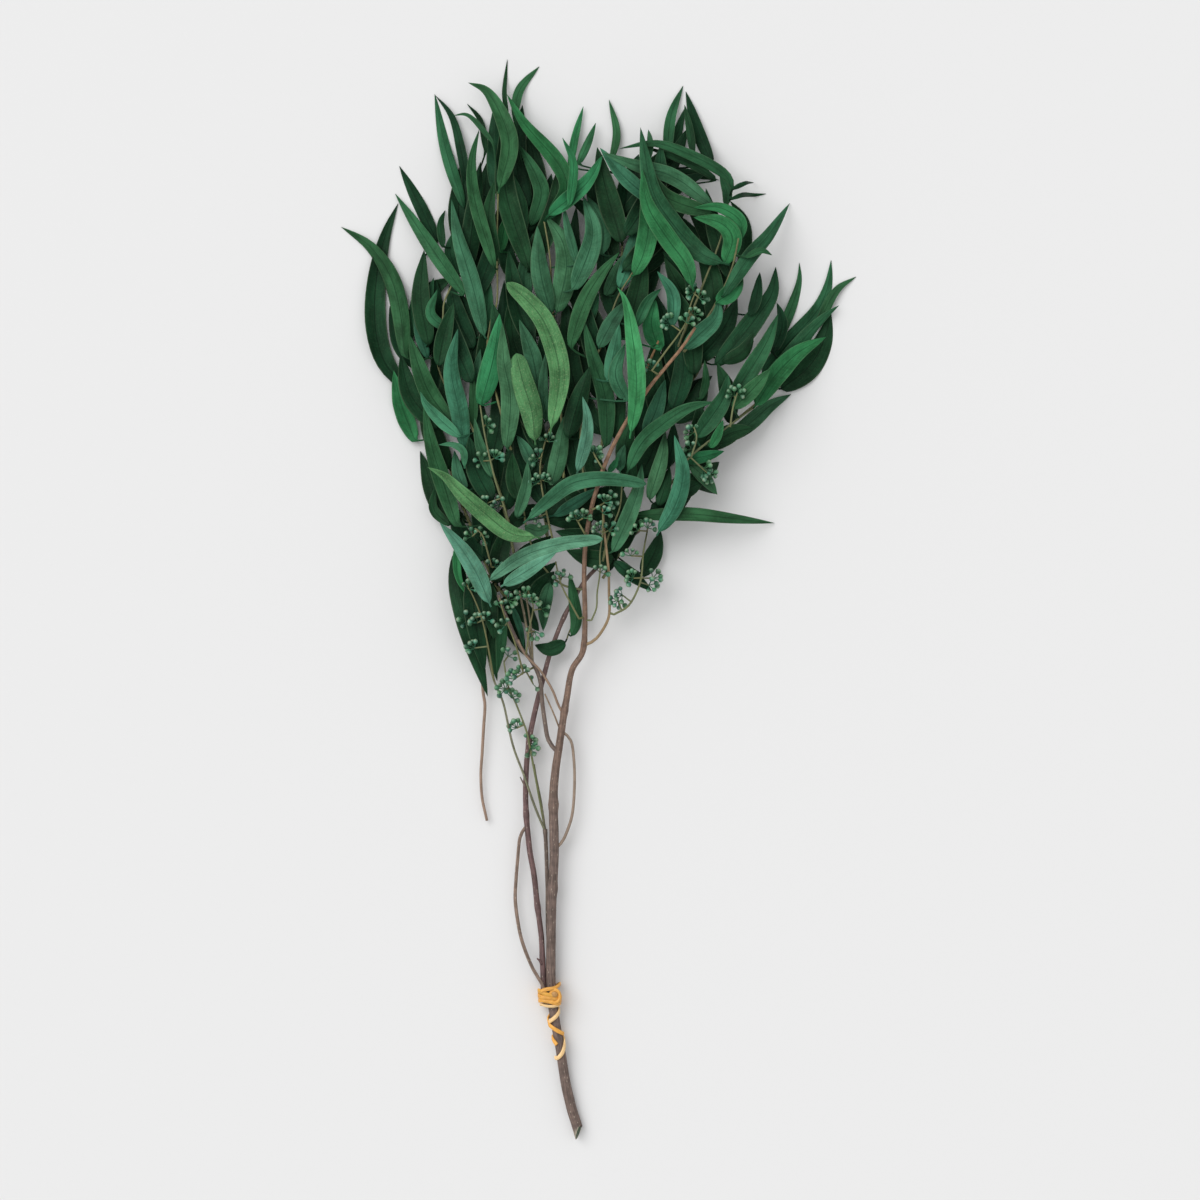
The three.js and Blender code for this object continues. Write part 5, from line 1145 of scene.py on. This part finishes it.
def leaf(piece, row, solid, seed, root=None, blunt=False, stations=24):
    """Grows one leaf. A ring is: middle + right * across * half + up * (fold + ripple + face), where
    fold = half * tan(angle) * (|across|^1.4 - 0.45), ripple follows a sine along the leaf and grows with
    across^2, and face is half the thickness. Half is width / 2 * (outline of the solid)^0.72. The frame is
    turned about the leaf's line by roll and twist."""
    tone, width, points = row[0], row[1], pairs(row[2:])
    shares, heights, rolls = blade_heights(solid, width, points, blunt)
    t = np.linspace(0, 1, stations)
    plan, _, length = smooth_line(points, t)
    z = np.interp(t, shares, heights)
    roll = np.interp(t, shares, rolls)
    if root is None:
        root = np.array([*(plan[0] - (plan[2] - plan[0]) * 0.8), z[0] - 0.8])
    stalk = np.linspace(0, 1, 5)[:-1, None]
    path = np.vstack([root + (np.array([*plan[0], z[0]]) - root) * stalk, np.column_stack([plan, z])])
    path = np.column_stack([soften(path[:, 0], 2), soften(path[:, 1], 2), soften(path[:, 2], 4)])
    t = np.concatenate([np.zeros(4), t])
    blade = t * BLUNT_AT if blunt else t
    outline = width / 2 * (2 * half_width(width, blade) / width) ** FULLNESS * (blade / 0.03).clip(0, 1)
    outline = outline * BROADER.get(tone, 1.0)
    if blunt:
        outline = outline * np.sqrt(1 - ((t - 0.9) / 0.1).clip(0, 0.99) ** 2)
    half = np.maximum(STALK_RADIUS * (1 - 0.9 * t), outline)
    stalky = (1 - t / STALK_END).clip(0, 1)[:, None]
    fold = math.radians(6 + 20 * chance(seed + 1)) * (1 if chance(seed + 2) > 0.25 else -0.7)
    twist = 0.9 * (chance(seed + 3) - 0.5)
    turn = np.concatenate([roll[:1].repeat(4), roll]) + twist * (t - 0.35)
    ripple = 0.45 * np.sin(2 * np.pi * (t * (2 + 2 * chance(seed + 4)) + chance(seed + 6)))[:, None]
    side = np.abs(ACROSS)
    lift = half[:, None] * math.tan(fold) * (side**1.4 - 0.45) * (1 - stalky)
    lift = lift + ripple * np.sign(ACROSS) * side**2 * (half[:, None] / 6).clip(0, 1)
    body = LEAF_HALF_THICKNESS + MIDRIB_RISE * (side < 0.05)
    lift = lift + FACE * (body * (1 - stalky) + stalky * half[:, None] * np.sqrt(1 - side**2))
    right, up = frames(path)
    c, s = np.cos(turn)[:, None], np.sin(turn)[:, None]
    right, up = right * c + up * s, up * c - right * s
    aside = ACROSS * half[:, None]
    rings = path[:, None] + right[:, None] * aside[..., None] + up[:, None] * lift[..., None]
    run = np.concatenate([(stalk[:, 0] - 1) * 4, np.linspace(0, 1, stations) * length])
    where = np.empty(rings.shape)
    where[..., 0] = ACROSS * (1 - 0.9 * stalky)
    where[..., 1] = run[:, None]
    where[..., 2] = 17.0 * chance(seed + 8)
    tints = np.empty((len(t), 1, 4))
    # painted shade: the tint is darkened by the share of lines up that meet a solid above
    tints[..., :3] = varied(TONES[tone], seed) * (1 - PAINTED_SHADE_STRENGTH * painted_shade_share(path))[:, None, None]
    tints[..., 3] = SPECKS.get(tone, PLAIN_SPECKS)
    piece.skin(rings, tints, where)


print("a ring across a blade has", len(ACROSS), "places")

# %% [markdown]
# ## Sprigs
#
# A sprig is a slender twig with leaves left and right. The twig is a tapering tube that is a little thicker
# where a leaf joins, and each leaf's stalk starts on the twig's middle line, at the place nearest to it.

# %% grow the sprigs
def twig(piece, path, radius, tint, seed, sides=8, joints=()):
    """A twig's tube, swollen near each joint: radius * (1 + 0.35 * exp(-(distance / 2 mm)^2))."""
    swell = np.zeros(len(path))
    for joint in joints:
        swell = np.maximum(swell, np.exp(-((np.linalg.norm(path[:, :2] - joint[:2], axis=1) / 2) ** 2)))
    rings = tube(path, radius * (1 + 0.35 * swell), sides)
    colour = np.array([*varied(tint, seed), 1.0])
    piece.skin(rings, colour, straightened(path, sides, radius[0], seed), 1)


# the stem that a twig visibly starts from
HOSTS = {
    "right_seed_twig": "right_branch", "inner_right_seed_twig": "main_stem", "olive_seed_twig": "main_stem",
    "lower_middle_sprig": "main_stem", "lower_leaf_pair": "main_stem", "hanging_seed_twig": "dark_stem",
    "stem_seed_umbels": "main_stem", "branch_seed_umbels": "main_stem", "upper_seed_umbels": "main_stem",
    "top_seed_twig": "main_stem", "inner_left_seed_twig": "left_branch", "centre_seed_twig": "left_branch",
}


def rooted(name, path, radius):
    """A twig's line with its foot put on its host's middle line, if it has one."""
    if name not in HOSTS:
        return path, radius
    foot = nearest_on(LINES[HOSTS[name]], path[0, :2])
    bridge = foot + (path[0] - foot) * np.linspace(0, 1, 5)[:-1, None]
    return np.vstack([bridge, path]), np.concatenate([radius[:1].repeat(4), radius])


def grow_sprig(name, twig_row, leaf_rows, seed):
    solid = corners(name)
    piece = Piece()
    path, radius = rooted(name, *twig_path(solid, twig_row, 16, 0.6))
    roots = [nearest_on(path, pairs(row[2:4])[0]) for row in leaf_rows]
    twig(piece, path, radius, OLIVE, seed, joints=roots)
    for i, (row, root) in enumerate(zip(leaf_rows, roots)):
        leaf(piece, row, solid, seed + i * 3.7, root)
    return piece.make(name, [LEAF, TWIG])


for i, (name, (twig_row, leaf_rows)) in enumerate(LOWER_SPRIGS.items()):
    grow_sprig(name, twig_row, leaf_rows, 10 + i * 2.3)
for i, (name, (twig_row, leaf_rows)) in enumerate(UPPER_SPRIGS.items()):
    grow_sprig(name, twig_row, leaf_rows, 50 + i * 1.9)
for i, (name, tone, width, blunt, *places) in enumerate(FRONT_LEAVES):
    piece = Piece()
    leaf(piece, (tone, width, *places), corners(name), 90 + i * 2.7, blunt=blunt, stations=40)
    piece.make(name, [LEAF])
print("leaves grown")

# %% [markdown]
# ## Buds
#
# Buds sit in fans at the end of a stalk. One bud is a rounded body on a thin stem, closing in a small cap.
# There are hundreds, so each is only seven rings of six places; the finish does the rest.

# %% grow the bud twigs
BUD_SHARES = np.array([0, 0.50, 0.57, 0.69, 0.84, 0.95, 1])
BUD_RADII = np.array([0.30, 0.32, 1.2, 1.78, 1.75, 1.05, 0.2])
BUD_LENGTH = 7.4
BUD_SIDES = 6
BUD_GREEN = light(60, 112, 80)
UMBEL_HALF_HEIGHT = 2.3
UMBEL_OFFSET = 3.5
UMBEL_REACH = 7
HUB_DROP = 0.6
FAN = math.radians(150)


def cluster(piece, solid, twig_line, row, seed):
    """One fan: bud i of n leaves the hub at heading + fan * (i / (n - 1) - 0.5), give or take 0.15 radians,
    and some point higher than others. The hub's height is read from the top of the solid's own umbel."""
    x, y, heading, buds = row
    turn = math.radians(heading)
    hub = pairs((x, y))[0]
    way = np.array([math.cos(turn), math.sin(turn)])
    top = height_above(solid, (hub + way * UMBEL_OFFSET)[None])[0]
    if math.isnan(top):
        near = np.linalg.norm(solid[:, :2] - hub - way * UMBEL_OFFSET, axis=1) < UMBEL_REACH
        top = solid[near, 2].max() if near.any() else solid[:, 2].max()
    hub = np.array([*hub, top - UMBEL_HALF_HEIGHT - HUB_DROP])
    root = nearest_on(twig_line, hub[:2])
    bow = np.sin(np.linspace(0, np.pi, 7))[:, None] * [0, 0, 0.8]
    stalk = root + (hub - root) * np.linspace(0, 1, 7)[:, None] + bow
    if np.linalg.norm(hub - root) > 0.5:
        twig(piece, stalk, np.linspace(0.6, 0.5, 7), OLIVE, seed, sides=6)
    for i in range(buds):
        fan = turn + FAN * (i / max(buds - 1, 1) - 0.5) + 0.3 * (chance(seed + i) - 0.5)
        rise = math.radians(-12 + 52 * chance(seed + i * 1.7 + 3))
        size = 0.85 + 0.3 * chance(seed + i + 9)
        aim = np.array([math.cos(fan) * math.cos(rise), math.sin(fan) * math.cos(rise), math.sin(rise)])
        path = hub + aim * (BUD_LENGTH * size * BUD_SHARES)[:, None]
        rings = tube(path, BUD_RADII * size, BUD_SIDES)
        where = np.empty(rings.shape)
        where[..., 0] = BUD_SHARES[:, None]
        where[..., 1] = np.arange(BUD_SIDES)
        where[..., 2] = 11 * chance(seed + i)
        tint = np.array([*varied(BUD_GREEN, seed + i * 2.1, 0.4), 1.0])
        piece.skin(rings, tint, where, 0)


for n, (name, (twig_row, rows)) in enumerate(SEED_TWIGS.items()):
    solid = corners(name)
    piece = Piece()
    path, radius = rooted(name, *twig_path(solid, twig_row, 14, 0.7))
    twig(piece, path, radius, OLIVE, n)
    for i, row in enumerate(rows):
        cluster(piece, solid, path, row, 200 + n * 7.3 + i * 1.3)
    piece.make(name, [BUD, TWIG])
print("bud twigs grown")

# %% [markdown]
# ## The rubber band
#
# The band is one long loop of flat rubber. It is wound five times round the stems where they meet, and its
# spare length is wound down the main stem. A strand is a rounded strip carried along its own path.

# %% band material and strands
def band_finish():
    r = Recipe("rubber")
    across, run, turn = r.parts("Where")
    tint = r.read("Tint", "Color")
    grain = r.noise(r.vector(across * 2, run * 0.12, turn), 2.0, 3.0, 0.6)
    dust = r.noise(r.vector(across * 1.2, run * 0.9, turn + 9), 1.4, 3.0, 0.65)
    base = r.mix(grain.between(0.3, 0.7), (0.78, 0.72, 0.66), (1.16, 1.16, 1.18))
    colour = r.mix(1.0, tint, base, "MULTIPLY")
    colour = r.mix(dust.between(0.55, 0.8) * 0.35, colour, (0.80, 0.68, 0.48))
    return r.finish(colour, 0.38 + grain * 0.25, grain * 0.7 + dust * 0.3, 0.0002, 0.5, IOR=1.5)


RUBBER = band_finish()
STRIP = np.array([(-1, 0), (-0.85, 0.8), (0, 1), (0.85, 0.8), (1, 0), (0.85, -0.8), (0, -1), (-0.85, -0.8)])
print("band strip of", len(STRIP), "corners")
BAND = light(226, 168, 74)
PALE_BAND = light(236, 202, 146)
DEEP_BAND = light(214, 158, 60)
KNOT_TINT = light(186, 142, 84)


def strand(piece, path, out, half_width_mm, half_thick, tint, seed, loop=False):
    """Carries the strip along the path: corner = middle + wide * a * half width + out * b * half thickness,
    where out is made square to the path, and wide is square to both."""
    if loop:
        ahead = np.roll(path, -1, axis=0) - np.roll(path, 1, axis=0)
    else:
        ahead = np.gradient(path, axis=0)
    ahead /= np.linalg.norm(ahead, axis=1, keepdims=True)
    out = out - ahead * (out * ahead).sum(axis=1, keepdims=True)
    out /= np.linalg.norm(out, axis=1, keepdims=True)
    wide = np.cross(ahead, out)
    aside = STRIP[:, :1] * np.broadcast_to(half_width_mm, len(path))[:, None, None]
    rings = path[:, None] + wide[:, None] * aside + out[:, None] * STRIP[:, 1:] * half_thick
    run = np.concatenate([[0], np.cumsum(np.linalg.norm(np.diff(path, axis=0), axis=1))])
    where = np.empty(rings.shape)
    where[..., 0] = STRIP[:, 0]
    where[..., 1] = run[:, None]
    where[..., 2] = seed * 13.0
    piece.skin(rings, np.array([*varied(tint, seed, 0.1), 1.0]), where, 0, loop)


def squared(v):
    """Turns a circle's cosine or sine into a rounded square's: its size to the power 0.8, its sign kept."""
    return np.sign(v) * np.abs(v) ** 0.8


print("the palest of four tints of rubber is", PALE_BAND.round(2))

# %% the coils round all the stems: middle y, tilt, reach, rise, half width, tint
band = Piece()
BAND_MIDDLE = np.array([-0.3 + KNOT[0], 8.25])
COILS = [
    (-7.6, -0.8, 6.6, 6.6, 1.0, PALE_BAND),
    (-4.9, -2.2, 7.6, 6.9, 1.5, BAND),
    (-2.2, -3.4, 8.0, 7.1, 1.6, BAND),
    (0.6, -4.4, 8.1, 7.3, 1.5, DEEP_BAND),
    (4.6, 5.6, 7.4, 7.9, 1.3, BAND),
]
COIL_STATIONS = 72
a = 2 * np.pi * np.arange(COIL_STATIONS) / COIL_STATIONS
for k, (y, tilt, reach, rise, half, tint) in enumerate(COILS):
    out = np.stack([np.cos(a), 0 * a, np.sin(a)], axis=1)
    path = np.stack([
        BAND_MIDDLE[0] + reach * squared(np.cos(a)),
        KNOT[1] + y + tilt / 2 * np.cos(a) + 0.4 * np.sin(3 * a + 2 * k),
        BAND_MIDDLE[1] + rise * squared(np.sin(a)),
    ], axis=1)
    strand(band, path, out, half + 0.15 * np.sin(2 * a + k), 0.75, tint, k + 1, loop=True)
print(len(COILS), "coils wound")

# %% the knot: a ring of the same strip lying on the coils round a small ball
KNOT_RING_STATIONS = 40
a = 2 * np.pi * np.arange(KNOT_RING_STATIONS) / KNOT_RING_STATIONS
ring_height = 15.4 - 0.7 * np.cos(a + 0.4) ** 2 + 0.5 * np.sin(a)
ring = np.stack([3.6 + 3.5 * np.cos(a), -0.6 + 4.6 * np.sin(a), ring_height], axis=1)
ring[:, :2] += KNOT[:2]
strand(band, ring, np.tile([0.0, 0.0, 1.0], (KNOT_RING_STATIONS, 1)), 1.15, 0.8, BAND, 8, loop=True)
BALL_HEIGHT, BALL_RADIUS, BALL_FLATNESS = 15.2, 2.6, 0.62
rise = np.linspace(-1, 1, 9)
ball = np.column_stack([0 * rise + 3.2 + KNOT[0], 0.8 + 2.5 * rise + KNOT[1], 0 * rise + BALL_HEIGHT])
knot = tube(ball, BALL_RADIUS * np.sqrt(1.02 - rise**2), 12)
knot[..., 2] = BALL_HEIGHT + (knot[..., 2] - BALL_HEIGHT) * BALL_FLATNESS
band.skin(knot, np.array([*KNOT_TINT, 1.0]), straightened(ball, 12, 2.0, 3), 0)
print("the knot's top is", round(knot[..., 2].max(), 1), "mm above the floor")

# %% the spare length: two strands wound opposite ways down the main stem
main_line = LINES["main_stem"]
main_radii = STEMS["main_stem"][2][0][1]
main_radius = np.interp(np.linspace(0, 1, len(main_line)), np.linspace(0, 1, len(main_radii)), main_radii)
# each strand: places as y from the knot, the way round in degrees (0 right, 90 on top), and lift
SPARE = [
    (PALE_BAND, [
        -8, -40, 0, -10, -10, 0, -12.4, 25, 0, -15.5, 75, 0, -18.4, 128, 0.3, -20.4, 182, 0.5, -23, 230, 0,
        -27, 285, 0, -31.5, 335, 0, -34.5, 372, 0, -38.5, 405, 0, -42.5, 440, 0, -45.6, 490, 0,
        -45.6, 545, 0.4]),
    (BAND, [
        -13, 250, 0, -15.5, 215, 0, -17.5, 185, 0.9, -20.8, 168, 0.9, -23.2, 130, 0.9, -25.6, 90, 0.2,
        -27.4, 45, 0, -28.2, 0, 0, -29, -60, 0, -30, -120, 0, -31, -178, 0, -33.4, -215, 0, -36, -245, 0]),
]
SPARE_STATIONS = 110
STRAND_HALF_THICKNESS = 0.65
for k, (tint, numbers) in enumerate(SPARE):
    row = np.array(numbers, float).reshape(-1, 3)
    row = smooth_line(row, np.linspace(0, 1, SPARE_STATIONS))[0]
    y, a = KNOT[1] + row[:, 0], np.radians(row[:, 1])
    out = np.stack([np.cos(a), 0 * a, np.sin(a)], axis=1)
    beneath = np.column_stack([main_line[:, 0], main_line[:, 2], main_radius])
    x, z, radius = (np.interp(y, main_line[:, 1], column) for column in beneath.T)
    away = radius + 0.75 + row[:, 2]
    middle = np.stack([x, y, z], axis=1)
    strand(band, middle + out * away[:, None], out, 1.45, STRAND_HALF_THICKNESS, tint, 7 + k)
made = band.make("rubber_band", [RUBBER])
print("the band has", len(made.data.polygons), "faces")

# %% [markdown]
# ## Floor, light and camera
#
# The bunch lies on a plain pale surface under soft light from above and a little from the left. The camera
# looks straight down through a long lens, so that the bunch is seen almost without perspective.

# %% floor, light, camera
FLOOR = 2.0
floor_mesh = bpy.data.meshes.new("floor")
square = [(-FLOOR, -FLOOR, 0), (FLOOR, -FLOOR, 0), (FLOOR, FLOOR, 0), (-FLOOR, FLOOR, 0)]
floor_mesh.from_pydata(square, [], [(0, 1, 2, 3)])
floor = bpy.data.objects.new("floor", floor_mesh)
bpy.context.scene.collection.objects.link(floor)
paper = Recipe("pale_surface")
grain = paper.noise(paper.node("ShaderNodeTexCoord", output=3), 900.0, 2.0)
floor_mesh.materials.append(paper.finish((0.80, 0.80, 0.80), 0.7, grain, 0.0001, 0.1))

world = bpy.data.worlds.new("soft_room")
world.use_nodes = True
world.node_tree.nodes["Background"].inputs["Color"].default_value = (1.0, 1.0, 1.0, 1.0)
world.node_tree.nodes["Background"].inputs["Strength"].default_value = 0.66
bpy.context.scene.world = world

window_light = bpy.data.lights.new("window", "SUN")
window_light.energy, window_light.angle = 1.65, math.radians(48)
window = bpy.data.objects.new("window", window_light)
window.rotation_euler = (math.radians(-26), math.radians(-34), 0)
bpy.context.scene.collection.objects.link(window)

lens = bpy.data.cameras.new("camera")
lens.lens, lens.sensor_width = 135.0, 36.0
camera = bpy.data.objects.new("camera", lens)
VIEW_MIDDLE = (36.0, 284.4)
VIEW_WIDTH = 864.0
VIEW_LEVEL = 13.0
middle = (np.array(VIEW_MIDDLE) + KNOT[:2]) * MM
camera.location = (*middle, VIEW_WIDTH * MM * lens.lens / lens.sensor_width + VIEW_LEVEL * MM)
bpy.context.scene.collection.objects.link(camera)
bpy.context.scene.camera = camera
print("the camera is", round(camera.location.z, 2), "m above the floor")
